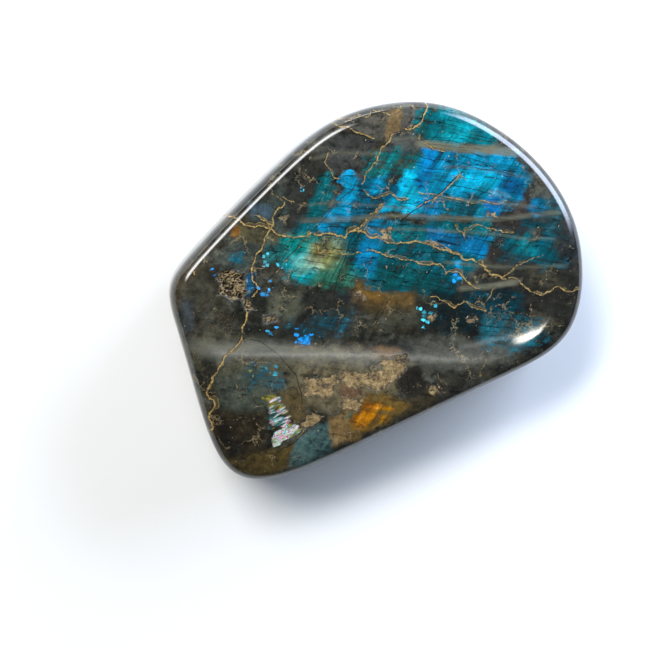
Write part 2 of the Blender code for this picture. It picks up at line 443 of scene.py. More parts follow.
# Chalky scars.
SCARS = patches(Layer.CRUST, Side.FRONT, (
    (((352, 293), (364, 292), (368, 300), (358, 303)), 0.5, 5),
    (((425, 388), (438, 386), (446, 394), (432, 400)), 0.5, 6),
    (((428, 313), (436, 312), (438, 320), (430, 322)), 0.5, 4),
    (((464, 313), (474, 313), (476, 322), (466, 323)), 0.5, 4),
    (((482, 213), (498, 212), (500, 219), (484, 220)), 0.5, 4),
    (((378, 228), (393, 227), (392, 238), (380, 240)), 0.55, 5),
    (((424, 242), (440, 243), (450, 250), (436, 250)), 0.5, 4),
    (((382, 359), (403, 357), (404, 370), (398, 380), (387, 391), (377, 393), (365, 387), (351, 388),
      (342, 380), (343, 372), (357, 371), (371, 373), (380, 368)), 0.86, 8),
    (((301, 378), (313, 377), (325, 376), (341, 375), (339, 384), (331, 396), (323, 398), (317, 393),
      (309, 400), (305, 394)), 0.76, 9),
    (((339, 393), (351, 398), (367, 400), (357, 409), (345, 408), (340, 400)), 0.76, 7),
    (((322, 413), (305, 415), (300, 424), (303, 428), (313, 424)), 0.9, 4),
))

# The vug and two small pits beside it.
PITS = patches(Layer.PIT, Side.FRONT, (
    (((214, 281), (217, 275), (228, 272), (242, 275), (243, 282), (248, 289), (244, 300), (229, 300),
      (216, 295), (218, 288)), 1.0, 4),
    (((244, 299), (254, 300), (258, 310), (250, 313), (244, 306)), 0.55, 3),
    (((262, 318), (272, 316), (277, 323), (268, 327)), 0.5, 3),
))

# A cleavage that is seen face on.
SILVER_PATCHES = patches(Layer.SILVER, Side.FRONT, (
    (((268, 397), (277, 396), (285, 404), (290, 412), (294, 424), (288, 431), (271, 433), (267, 415)), 0.6,
     5),
    (((275, 432), (290, 424), (300, 426), (303, 430), (301, 436), (290, 441), (279, 447), (272, 449),
      (270, 440)), 1.0, 4),
))

# Flashes on the back.
BACK_FLASHES = patches(Layer.FLASH, Side.BACK, (
    (((256, 306), (284, 240), (318, 200), (382, 190), (428, 204), (436, 244), (404, 304), (330, 322)), 0.9,
     16, "#0c4a5a"),
    (((284, 302), (312, 232), (340, 206), (356, 210), (336, 262), (306, 306)), 1.0, 8, "#0c78b0"),
    (((350, 300), (370, 238), (392, 208), (412, 214), (396, 262), (374, 304)), 0.95, 8, "#1490c4"),
    (((318, 252), (332, 228), (344, 226), (330, 264)), 0.6, 10, "#4cc0dc"),
    (((404, 344), (440, 284), (492, 262), (500, 290), (464, 344), (424, 362)), 0.85, 14, "#10606e"),
    (((446, 330), (464, 290), (484, 276), (480, 306), (462, 336)), 0.8, 8, "#1a8c9c"),
    (((286, 372), (316, 338), (350, 326), (352, 352), (320, 388)), 0.75, 10, "#806a2c"),
))

# Tones of the back.
BACK_TINTS = patches(Layer.TINT, Side.BACK, (
    (((230, 330), (330, 320), (350, 380), (270, 420), (225, 400)), 0.8, 20, "#4c4a3c"),
    (((440, 150), (520, 160), (556, 220), (500, 250), (448, 210)), 0.7, 18, "#46503e"),
))

# Smoky seams, which hardly wander.
SEAM_WANDER = 0.1
SEAMS = [Vein(*row, SEAM_WANDER, Filling.SMOKY) for row in (
    (((298, 221), (345, 219), (385, 216), (420, 216), (460, 219), (500, 219), (566, 213)), 4.4, 0.6),
    (((414, 142), (440, 146), (470, 149), (512, 152), (524, 154)), 8.5, 1.0),
    (((384, 142), (404, 138), (424, 138)), 3.0, 0.6),
    (((300, 206), (340, 202), (400, 208), (440, 205)), 2.0, 0.4),
    (((440, 166), (480, 169), (530, 178)), 2.0, 0.4),
    (((430, 196), (470, 201), (500, 203), (540, 208)), 3.0, 0.55),
    (((350, 230), (400, 229), (470, 232), (520, 238), (560, 240)), 2.4, 0.5),
    (((440, 262), (480, 266), (520, 268), (570, 266)), 3.0, 0.5),
    (((456, 289), (490, 286), (520, 282)), 5.0, 0.8),
    (((196, 343), (225, 348), (262, 345), (300, 350), (345, 354)), 4.0, 0.5),
    (((250, 356), (290, 352), (330, 360), (352, 358)), 3.0, 0.5),
    (((400, 366), (440, 360), (500, 364)), 3.0, 0.4),
    (((310, 160), (340, 152), (372, 154), (392, 148)), 3.0, 0.45),
)]

# Healed veins, and dark cracks with the pale stain beside them.
VEINS = SEAMS + [Vein(*row) for row in (
    (((214, 214), (222, 218), (240, 219), (262, 226), (271, 229), (290, 236), (298, 237), (308, 234),
      (316, 230)), 2.0, 1.0),
    (((312, 229), (330, 233), (345, 238), (380, 239), (400, 242), (420, 242), (432, 246), (448, 251),
      (460, 255), (470, 259), (480, 264), (488, 271), (495, 275), (510, 277)), 2.2, 1.0),
    (((505, 277), (520, 281), (525, 286), (532, 292), (545, 295), (577, 292), (590, 291)), 1.5, 0.95),
    (((424, 241), (438, 243), (447, 248), (452, 252), (466, 258)), 1.6, 0.8),
    (((250, 216), (262, 220), (270, 224), (278, 231)), 1.8, 0.9),
    (((286, 198), (284, 206), (276, 212), (272, 227), (265, 242), (262, 250), (256, 256), (253, 265),
      (252, 275), (256, 283), (259, 288), (247, 299)), 1.7, 0.9),
    (((266, 191), (285, 197), (305, 203), (311, 206)), 1.1, 0.7),
    (((305, 243), (335, 249), (365, 257)), 1.3, 0.75),
    (((362, 249), (375, 251), (390, 257), (415, 261), (430, 265), (445, 272), (465, 279), (485, 286)), 1.8,
     0.9),
    (((247, 299), (245, 305), (247, 315), (242, 328), (243, 337), (233, 350), (225, 357), (219, 372),
      (211, 388), (213, 400), (213, 420), (212, 440), (215, 470)), 2.2, 1.0),
    (((436, 98), (432, 107), (425, 117), (418, 126), (414, 129), (402, 130)), 1.7, 1.0),
    (((402, 130), (392, 135), (382, 147), (378, 156), (366, 172), (364, 182), (358, 187)), 1.5, 0.85),
    (((360, 186), (366, 193), (378, 198), (400, 200), (415, 199)), 1.3, 0.75),
    (((325, 118), (335, 122), (350, 127), (370, 137), (378, 141)), 1.6, 0.95),
    (((336, 122), (365, 115), (400, 112), (420, 104)), 1.2, 0.7),
    (((396, 113), (390, 124), (388, 138)), 1.3, 0.6),
    (((416, 129), (422, 142), (434, 149), (450, 153)), 1.4, 0.75),
    (((334, 149), (328, 154), (331, 170), (335, 178), (344, 182)), 1.2, 0.75),
    (((318, 172), (330, 158)), 1.2, 0.5),
    (((386, 200), (375, 212), (366, 217), (355, 229), (348, 236)), 2.0, 0.7),
    (((413, 192), (432, 194), (452, 198), (480, 201), (512, 202)), 1.4, 0.75),
    (((450, 222), (480, 225), (500, 230), (515, 233), (520, 230)), 1.3, 0.8),
    (((505, 150), (516, 161), (530, 176)), 1.2, 0.6),
    (((425, 298), (440, 300), (450, 306), (480, 309), (492, 312)), 1.4, 0.8),
    (((490, 312), (510, 311), (545, 312)), 1.0, 0.6),
    (((550, 250), (527, 262), (510, 272), (495, 287), (486, 302), (484, 308)), 1.3, 0.7),
    (((490, 312), (494, 318), (485, 332), (485, 345), (488, 360), (480, 385)), 1.2, 0.6),
    (((240, 188), (250, 189), (264, 184)), 1.3, 0.8),
    (((210, 220), (228, 214), (246, 203)), 1.3, 0.8),
    (((168, 296), (180, 290), (196, 276), (202, 262)), 1.1, 0.5),
    (((322, 418), (308, 428), (294, 444)), 1.3, 0.7),
    (((359, 185), (335, 206), (312, 231), (303, 241), (283, 263), (262, 287)), 1.1, 0.95, 0.2, Filling.DARK),
    (((360, 184), (336, 205), (313, 230), (304, 240), (284, 262), (263, 286)), 1.2, 0.62, 0.2),
    (((387, 199), (376, 212), (362, 224), (351, 237), (343, 262), (336, 282), (332, 300)), 1.2, 0.9, 0.25,
     Filling.DARK),
    (((388, 198), (377, 211), (363, 223), (352, 236)), 1.3, 0.7, 0.25),
    (((397, 213), (392, 228), (386, 240), (380, 262)), 1.1, 0.8, 0.3, Filling.DARK),
    (((360, 300), (350, 282), (366, 262), (376, 250)), 1.0, 0.7, 0.4, Filling.DARK),
    (((396, 290), (388, 302), (378, 318), (370, 330)), 1.1, 0.9, 0.3, Filling.DARK),
    (((397, 289), (389, 301), (379, 317), (371, 329)), 1.0, 0.6, 0.3),
    (((366, 252), (345, 275), (335, 296)), 1.0, 0.75, 1.0, Filling.DARK),
    (((467, 169), (440, 195), (425, 203), (411, 212), (396, 226)), 1.6, 0.9, 0.2, Filling.DARK),
    (((465, 170), (441, 194), (426, 202), (412, 210)), 1.5, 0.78, 0.2),
    (((245, 338), (262, 342), (280, 355), (297, 375), (303, 395), (305, 410)), 1.2, 0.85, 0.3, Filling.DARK),
    (((436, 210), (422, 222), (398, 248), (384, 270)), 1.0, 0.7, 0.2, Filling.DARK),
    (((404, 152), (416, 140), (419, 128)), 1.0, 0.7, 0.6, Filling.DARK),
    (((330, 178), (352, 183), (380, 190), (412, 189)), 0.9, 0.6, 0.4, Filling.DARK),
    (((320, 208), (356, 202), (404, 206), (470, 203), (498, 205)), 1.0, 0.7, 0.4, Filling.DARK),
    (((430, 160), (470, 165), (500, 171), (522, 178)), 1.2, 0.85, 0.3, Filling.DARK),
    (((352, 228), (420, 232), (470, 231), (512, 238)), 0.9, 0.6, 0.4, Filling.DARK),
    (((300, 250), (345, 262), (410, 276), (440, 282)), 0.9, 0.6, 0.4, Filling.DARK),
    (((338, 126), (352, 128), (366, 134), (380, 140)), 1.0, 0.7, 0.8, Filling.DARK),
    (((400, 360), (404, 372), (410, 386), (406, 396)), 1.6, 0.8, 1.0, Filling.DARK),
    (((345, 440), (372, 428), (398, 416), (430, 404)), 1.0, 0.6, 0.4, Filling.DARK),
    (((322, 424), (300, 442), (280, 455), (240, 463)), 1.2, 0.75, 1.0, Filling.DARK),
    (((396, 293), (384, 308), (372, 328)), 1.1, 0.7, 1.0, Filling.DARK),
    (((384, 100), (384, 112), (389, 124)), 1.0, 0.6, 1.0, Filling.DARK),
    (((470, 166), (500, 171), (524, 174)), 1.3, 0.8, 1.0, Filling.DARK),
)]


def segment_gaps(points: np.ndarray, path: np.ndarray) -> tuple[np.ndarray, np.ndarray, np.ndarray]:
    """Measures from points to the nearest place on a path.

    Args:
        points: X and Y of each point.
        path: X and Y of each of the path's points.

    Returns:
        For each point its distance, the side of the path it is on as 1 or -1, and how far along the path
        the nearest place is.
    """
    starts, steps = path[:-1], np.diff(path, axis=0)
    lengths = np.linalg.norm(steps, axis=1)
    reaches = np.concatenate([[0.0], np.cumsum(lengths)[:-1]])
    gaps = points[:, None, :] - starts
    shares = np.clip((gaps * steps).sum(axis=2) / lengths**2, 0.0, 1.0)
    offsets = gaps - shares[..., None] * steps
    distances = np.linalg.norm(offsets, axis=2)
    nearest = distances.argmin(axis=1)
    rows = np.arange(len(points))
    crosses = steps[nearest, 0] * offsets[rows, nearest, 1] - steps[nearest, 1] * offsets[rows, nearest, 0]
    along = reaches[nearest] + shares[rows, nearest] * lengths[nearest]
    return distances[rows, nearest], np.where(crosses < 0, -1.0, 1.0), along


def inside(points: np.ndarray, outline: np.ndarray) -> np.ndarray:
    """Tells which points lie inside a closed outline.

    Args:
        points: X and Y of each point.
        outline: X and Y of the outline's corners.

    Returns:
        True for each point inside.
    """
    ends = np.roll(outline, -1, axis=0)
    x, y = points[:, :1], points[:, 1:]
    straddles = (outline[:, 1] > y) != (ends[:, 1] > y)
    rise = np.where(ends[:, 1] == outline[:, 1], 1e-9, ends[:, 1] - outline[:, 1])
    crossings = outline[:, 0] + (y - outline[:, 1]) * (ends[:, 0] - outline[:, 0]) / rise
    return (straddles & (x < crossings)).sum(axis=1) % 2 == 1


@dataclass(frozen=True)
class Markings:
    """Lays the patches and veins out as attributes of the stone's mesh."""

    view: Viewpoint
    patches: list[Patch]
    veins: list[Vein]
    face_height_mm: float = 23.0
    lean: tuple[float, float] = (0.22, -0.16)
    front_normals: tuple[float, float] = (0.02, 0.45)
    back_normals: tuple[float, float] = (0.3, 0.8)
    wander_share: float = 0.12
    wander_step_mm: float = 0.9
    taper_mm: float = 1.6
    vein_reach_mm: float = 2.5
    seed: int = 11
    stray_mm: tuple[tuple[float, float], ...] = ((7.0, 0.6), (2.4, 0.35))
    stray_starts: tuple[tuple[float, float, float], ...] = ((9.3, -1.5, -8.0), (0.0, 0.0, 0.0))
    finger_mm: Size = (8.0, 1.4, 0.6)
    finger_detail: Span = (0.5, 2.3)
    finger_deg: float = -34.0

    def px_mm(self) -> float:
        """The size of one of the photograph's pixels on the face."""
        return self.view.distance_mm / self.view.focal_px

    def side_weights(self, normals_z: np.ndarray, side: Side) -> np.ndarray:
        """How much each vertex belongs to one side of the slab."""
        low, high = self.front_normals if side is Side.FRONT else self.back_normals
        return smooth(low, high, normals_z * side.value)

    def lay_patches(self, mesh: bpy.types.Mesh, places: np.ndarray, normals_z: np.ndarray) -> None:
        """Writes one attribute for each layer of patches.

        Args:
            mesh: The stone's mesh.
            places: Each vertex's place in millimetres.
            normals_z: How far each vertex faces up.
        """
        strayed = self.strayed(places)
        fingered = self.fingered(places, strayed)
        for layer in Layer:
            sought = fingered if layer is Layer.FLASH else strayed
            colours = np.zeros((len(places), 4))
            for patch in (p for p in self.patches if p.layer is layer):
                cover = self.cover(patch, sought) * self.side_weights(normals_z, patch.side)
                colours *= 1.0 - cover[:, None]
                colours += cover[:, None] * np.array(linear(patch.colour))
            attribute = mesh.attributes.new(layer.value, "FLOAT_COLOR", "POINT")
            attribute.data.foreach_set("color", colours.astype(np.float32).ravel())

    def strayed(self, places: np.ndarray) -> np.ndarray:
        """Shifts places irregularly, so that a patch found there has an edge like a crystal's or a cloud's.

        Args:
            places: Each vertex's place in millimetres.

        Returns:
            The shifted X and Y.
        """
        strayed = places[:, :2].copy()
        for size, reach in self.stray_mm:
            for axis, start in enumerate(self.stray_starts):
                drift = [noise.noise(Vector(place) / size + Vector(start)) for place in places]
                strayed[:, axis] += np.array(drift) * reach * 2
        return strayed

    def fingered(self, places: np.ndarray, strayed: np.ndarray) -> np.ndarray:
        """Shifts places along the twin layers too, which gives a flash ends like interleaved fingers.

        Args:
            places: Each vertex's place in millimetres.
            strayed: Their X and Y as already shifted.

        Returns:
            The shifted X and Y.
        """
        length, width, reach = self.finger_mm
        angle = math.radians(self.finger_deg)
        along = np.array([math.cos(angle), math.sin(angle)])
        across = np.array([-along[1], along[0]])
        flat = places[:, :2]
        ruled = np.column_stack([flat @ along / length, flat @ across / width, places[:, 2] / length])
        strength, fineness = self.finger_detail
        pushes = np.array([
            noise.noise(Vector(place)) + strength * noise.noise(Vector(place) * fineness) for place in ruled
        ])
        return strayed + np.outer(pushes * reach * 2, along)

    def cover(self, patch: Patch, places: np.ndarray) -> np.ndarray:
        """How strongly a patch covers each place.

        Args:
            patch: The patch.
            places: X and Y in millimetres.

        Returns:
            A share from 0 to the patch's strength for each place.
        """
        outline = self.view.on_face(patch.outline)
        feather = patch.feather_px * self.px_mm()
        low, high = outline.min(axis=0) - feather, outline.max(axis=0) + feather
        near = np.flatnonzero(((places > low) & (places < high)).all(axis=1))
        cover = np.zeros(len(places))
        if len(near):
            gaps = segment_gaps(places[near], np.vstack([outline, outline[:1]]))[0]
            depths = np.where(inside(places[near], outline), gaps, -gaps)
            cover[near] = patch.strength * smooth(-feather / 2, feather / 2, depths)
        return cover

    def wander(self, path: np.ndarray, share: float, rng: np.random.Generator) -> np.ndarray:
        """Breaks a path into short steps that stray to either side, as a crack does.

        Args:
            path: X and Y of the path's points in millimetres.
            share: How far it strays, where 1 is the usual.
            rng: The source of chance.

        Returns:
            The finer path.
        """
        points = [path[0]]
        for end in path[1:]:
            run = [points[-1], end]
            while np.linalg.norm(run[1] - run[0]) > self.wander_step_mm:
                finer = [run[0]]
                for a, b in zip(run, run[1:]):
                    across = np.array([a[1] - b[1], b[0] - a[0]])
                    finer += [(a + b) / 2 + across * rng.normal(0.0, self.wander_share * share), b]
                run = finer
            points += run[1:]
        return np.array(points)

    def lay_veins(self, mesh: bpy.types.Mesh, places: np.ndarray) -> None:
        """Writes the distance to the nearest vein at each face's corners.

        Each face follows one vein, so the distance changes sign across that vein alone. A second attribute
        follows the second nearest pale vein, for where two of them meet.

        Args:
            mesh: The stone's mesh.
            places: Each vertex's place in millimetres.
        """
        shifted = places[:, :2] - np.outer(places[:, 2] - self.face_height_mm, self.lean)
        corner_vertices = np.empty(len(mesh.loops), np.int32)
        mesh.loops.foreach_get("vertex_index", corner_vertices)
        totals = np.empty(len(mesh.polygons), np.int32)
        mesh.polygons.foreach_get("loop_total", totals)
        corner_faces = np.repeat(np.arange(len(totals)), totals)
        corners = shifted[corner_vertices]
        middles = np.column_stack([
            np.bincount(corner_faces, corners[:, axis]) / totals for axis in (0, 1)
        ])
        rng = np.random.default_rng(self.seed)
        paths = [self.wander(self.view.on_face(vein.path), vein.wander, rng) for vein in self.veins]
        for filling, owners in self.nearest_veins(paths, middles).items():
            values = self.vein_values(paths, corners, owners[corner_faces])
            attribute = mesh.attributes.new(filling.value, "FLOAT_VECTOR", "CORNER")
            attribute.data.foreach_set("vector", values.astype(np.float32).ravel())

    def nearest_veins(self, paths: list[np.ndarray], middles: np.ndarray) -> dict[Filling, np.ndarray]:
        """Finds the vein of each filling that each face follows.

        Args:
            paths: X and Y of each vein's points in millimetres.
            middles: X and Y of each face's middle.

        Returns:
            For each filling, each face's vein by its place in paths, or -1 where none is near.
        """
        gaps = np.full((len(paths), len(middles)), np.inf, np.float32)
        for row, path in enumerate(paths):
            low, high = path.min(axis=0) - self.vein_reach_mm, path.max(axis=0) + self.vein_reach_mm
            near = np.flatnonzero(((middles > low) & (middles < high)).all(axis=1))
            gaps[row, near] = segment_gaps(middles[near], path)[0]
        every = np.arange(len(middles))
        fillings = np.array([vein.filling.value for vein in self.veins])
        own_gaps = {
            filling: np.where((fillings == filling.value)[:, None], gaps, np.inf)
            for filling in (Filling.PALE, Filling.DARK, Filling.SMOKY)
        }
        crossing = own_gaps[Filling.PALE].copy()
        crossing[crossing.argmin(axis=0), every] = np.inf
        own_gaps[Filling.PALE_CROSSING] = crossing
        owners = {}
        for filling in (Filling.PALE, Filling.PALE_CROSSING, Filling.DARK, Filling.SMOKY):
            nearest = own_gaps[filling].argmin(axis=0)
            near = own_gaps[filling][nearest, every] < self.vein_reach_mm
            owners[filling] = np.where(near, nearest, -1)
        return owners

    def vein_values(self, paths: list[np.ndarray], corners: np.ndarray, owners: np.ndarray) -> np.ndarray:
        """Measures corners against the veins that they follow.

        Args:
            paths: X and Y of each vein's points in millimetres.
            corners: X and Y of each corner.
            owners: Each corner's vein by its place in paths, or -1.

        Returns:
            For each corner the signed distance, the vein's strength there and half its width in millimetres.
        """
        values = np.zeros((len(owners), 3))
        for row in np.unique(owners[owners >= 0]):
            chosen = np.flatnonzero(owners == row)
            distance, side, along = segment_gaps(corners[chosen], paths[row])
            length = np.linalg.norm(np.diff(paths[row], axis=0), axis=1).sum()
            fade = np.clip(np.minimum(along, length - along) / self.taper_mm, 0.0, 1.0)
            values[chosen, 0] = distance * side
            values[chosen, 1] = fade * self.veins[row].strength
            values[chosen, 2] = self.veins[row].width_px * self.px_mm() / 2
        return values


@dataclass(frozen=True)
class WeatheredRelief:
    """Geometry Nodes that sink the spots the polish never reached and raise wormy ridges in them."""

    depth_mm: float = 0.9
    ridge_height_mm: float = 0.75
    ridge_spacing_mm: float = 1.1
    scar_share: float = 0.1
    seed: float = 4.0

    def make_tree(self) -> bpy.types.GeometryNodeTree:
        """Builds the tree, with named inputs for its sizes."""
        tree = bpy.data.node_groups.new("weathered_relief", "GeometryNodeTree")
        sockets = tree.interface
        sockets.new_socket("Geometry", in_out="INPUT", socket_type="NodeSocketGeometry")
        for name in ("Depth", "Ridge Height", "Ridge Spacing", "Scar Share", "Seed"):
            sockets.new_socket(name, in_out="INPUT", socket_type="NodeSocketFloat")
        sockets.new_socket("Stone", in_out="INPUT", socket_type="NodeSocketMaterial")
        sockets.new_socket("Geometry", in_out="OUTPUT", socket_type="NodeSocketGeometry")
        group = tree.nodes.new("NodeGroupInput").outputs
        place = add(tree, "GeometryNodeInputPosition")
        scale = add(tree, "Math DIVIDE", 1.0, group["Ridge Spacing"])
        worms = add(
            tree, "TexNoise", place, W=group["Seed"], Scale=scale, Detail=2.0, Distortion=1.2,
            noise_dimensions="4D",
        )
        folded = add(tree, "Math SUBTRACT", worms, 0.5)
        folded = add(tree, "Math ABSOLUTE", folded)
        ridges = add(tree, "MapRange", folded, 0.1, 0.02, interpolation_type="SMOOTHSTEP")
        shares = []
        for layer in (Layer.PIT, Layer.CRUST):
            colour = add(tree, "GeometryNodeInputNamedAttribute", Name=layer.value, data_type="FLOAT_COLOR")
            shares.append(add(tree, "FunctionNodeSeparateColor", colour, out="Alpha"))
        scar = add(tree, "Math MULTIPLY", shares[1], group["Scar Share"])
        sunk = add(tree, "Math MAXIMUM", shares[0], scar)
        rise = add(tree, "Math MULTIPLY", ridges, group["Ridge Height"])
        drop = add(tree, "Math SUBTRACT", rise, group["Depth"])
        amount = add(tree, "Math MULTIPLY", drop, sunk)
        normal = add(tree, "GeometryNodeInputNormal")
        offset = add(tree, "VectorMath SCALE", normal, amount)
        kept = add(
            tree, "GeometryNodeStoreNamedAttribute", group["Geometry"], Name="ridges", Value=ridges,
            data_type="FLOAT", domain="POINT",
        )
        moved = add(tree, "GeometryNodeSetPosition", kept, Offset=offset)
        real = add(tree, "GeometryNodeRealizeInstances", moved)
        dressed = add(tree, "GeometryNodeSetMaterial", real, Material=group["Stone"])
        add(tree, "NodeGroupOutput", dressed)
        return tree

    def carve(self, stone: bpy.types.Object, material: bpy.types.Material) -> None:
        """Runs the tree on the stone and keeps the result as a plain mesh.

        Args:
            stone: The stone, whose mesh has the pit and crust attributes.
            material: What the whole surface is made of.
        """
        carving = stone.modifiers.new("weathered_relief", "NODES")
        carving.node_group = self.make_tree()
        sizes = {
            "Depth": self.depth_mm * MM,
            "Ridge Height": self.ridge_height_mm * MM,
            "Ridge Spacing": self.ridge_spacing_mm * MM,
            "Scar Share": self.scar_share,
            "Seed": self.seed,
            "Stone": material,
        }
        for socket in carving.node_group.interface.items_tree:
            if socket.name in sizes and socket.in_out == "INPUT":
                carving[socket.identifier] = sizes[socket.name]
        graph = bpy.context.evaluated_depsgraph_get()
        carved = bpy.data.meshes.new_from_object(stone.evaluated_get(graph))
        stone.modifiers.remove(carving)
        stone.data = carved
        stone.data.name = stone.name


@dataclass(frozen=True)
class GroundMass:
    """Labradorite feldspar, ground and polished: smoky grey-green, cloudy, mottled, grainy and specked."""

    tones: tuple[Stop, ...] = (
        (0.36, "#090906"), (0.43, "#1c1c16"), (0.5, "#37372d"), (0.57, "#515147"), (0.66, "#777767"),
    )
    earthy: str = "#4a3c22"
    grain: str = "#9c8a66"
    pale_grain: str = "#c8b68c"
    black_speck: str = "#070806"
    swirl_scale: float = 0.12
    swirl_mm: float = 6.0
    cloud_mm: float = 7.0
    mottle_share: float = 0.3
    earth_share: float = 0.6
    mottle_mm: float = 1.8
    fine_mm: float = 0.5
    coarse_shades: Span = (0.37, 1.22)
    fine_shades: Span = (0.78, 1.14)
    grain_mm: float = 1.5
    worm_mm: float = 1.3

    def paint(self, tree: Tree, place: Any) -> Any:
        """Mixes the ground mass.

        Args:
            tree: The material's tree.
            place: Where on the stone, in millimetres.

        Returns:
            The colour.
        """
        swirl = add(tree, "TexNoise", place, Scale=self.swirl_scale, Detail=3.0, out=1)
        swirl = add(tree, "VectorMath SCALE", swirl, self.swirl_mm)
        swirled = add(tree, "VectorMath ADD", place, swirl)
        cloud = add(tree, "TexNoise", swirled, Scale=1 / self.cloud_mm, Detail=6.0, Roughness=0.65)
        mottle = add(
            tree, "TexNoise", place, Scale=1 / self.mottle_mm, Detail=5.0, Roughness=0.75, Distortion=0.6,
        )
        blend = add(tree, "Mix", self.mottle_share, cloud, mottle, data_type="FLOAT")
        stone = add(tree, "ValToRGB", blend, stops=self.tones)
        earth = add(tree, "TexNoise", swirled, Scale=0.23, Detail=4.0, Roughness=0.6)
        earth = add(tree, "MapRange", earth, 0.5, 0.72, 0.0, self.earth_share)
        return add(tree, "Mix", earth, stone, linear(self.earthy), data_type="RGBA")

    def mottle(self, tree: Tree, place: Any) -> Any:
        """The fine light and dark of the grains, around 1, that shows through every patch of colour.

        Args:
            tree: The material's tree.
            place: Where on the stone, in millimetres.

        Returns:
            What to multiply a colour by.
        """
        coarse = add(
            tree, "TexNoise", place, Scale=1 / self.mottle_mm, Detail=5.0, Roughness=0.7, W=2.0,
            noise_dimensions="4D",
        )
        coarse = add(tree, "MapRange", coarse, 0.32, 0.68, *self.coarse_shades)
        fine = add(tree, "TexNoise", place, Scale=1 / self.fine_mm, Detail=2.0, Distortion=1.5)
        fine = add(tree, "MapRange", fine, 0.3, 0.7, *self.fine_shades)
        return add(tree, "Math MULTIPLY", coarse, fine)

    def web(self, tree: Tree, place: Any, colour: Any) -> Any:
        """Draws a broken web of hairline cracks over a colour.

        Args:
            tree: The material's tree.
            place: Where on the stone, in millimetres.
            colour: What lies under them.

        Returns:
            The colour with the cracks.
        """
        stray = add(tree, "TexNoise", place, Scale=0.6, Detail=4.0, Roughness=0.7, out=1)
        bent = add(tree, "VectorMath SCALE", stray, 3.5)
        bent = add(tree, "VectorMath ADD", place, bent)
        where = add(tree, "TexNoise", place, Scale=0.25, Detail=3.0, W=5.0, noise_dimensions="4D")
        for spacing, width, low, shade in (
            (4.6, 0.016, 0.5, self.black_speck), (7.5, 0.007, 0.52, self.grain),
        ):
            crack = add(tree, "TexVoronoi", bent, Scale=1 / spacing, feature="DISTANCE_TO_EDGE")
            crack = add(tree, "MapRange", crack, width * 2, width * 0.5, 0.0, 0.75)
            there = add(tree, "MapRange", where, low, low + 0.08)
            crack = add(tree, "Math MULTIPLY", crack, there)
            colour = add(tree, "Mix", crack, colour, linear(shade), data_type="RGBA")
        worms = add(
            tree, "TexNoise", place, Scale=1 / self.worm_mm, Detail=2.0, Distortion=1.6, W=4.0,
            noise_dimensions="4D",
        )
        where = add(
            tree, "TexNoise", place, Scale=0.16, Detail=4.0, Roughness=0.65, W=8.0, noise_dimensions="4D",
        )
        there = add(tree, "MapRange", where, 0.57, 0.68, 0.0, 0.7)
        for level, reach, shade in ((0.47, 0.014, self.grain), (0.5, 0.026, self.black_speck)):
            gap = add(tree, "Math SUBTRACT", worms, level)
            gap = add(tree, "Math ABSOLUTE", gap)
            worm = add(tree, "MapRange", gap, reach, reach * 0.3)
            worm = add(tree, "Math MULTIPLY", worm, there)
            colour = add(tree, "Mix", worm, colour, linear(shade), data_type="RGBA")
        return colour

    def scatter_grains(self, tree: Tree, place: Any, colour: Any) -> Any:
        """Scatters pale grains and black specks over a colour.

        Args:
            tree: The material's tree.
            place: Where on the stone, in millimetres.
            colour: What lies under them.

        Returns:
            The colour with the grains.
        """
        for spacing, size, threshold, speck in (
            (self.grain_mm, 0.1, 0.8, self.grain),
            (self.grain_mm * 0.8, 0.15, 0.6, self.black_speck),
            (self.grain_mm * 1.7, 0.07, 0.6, self.pale_grain),
        ):
            cell = add(tree, "TexVoronoi", place, Scale=1 / spacing)
            pick = add(tree, "SeparateColor", cell.node.outputs["Color"])
            rare = add(tree, "Math GREATER_THAN", pick, threshold)
            dot = add(tree, "MapRange", cell, size, size * 0.5, 0.0, 0.75)
            dot = add(tree, "Math MULTIPLY", dot, rare)
            colour = add(tree, "Mix", dot, colour, linear(speck), data_type="RGBA")
        return colour


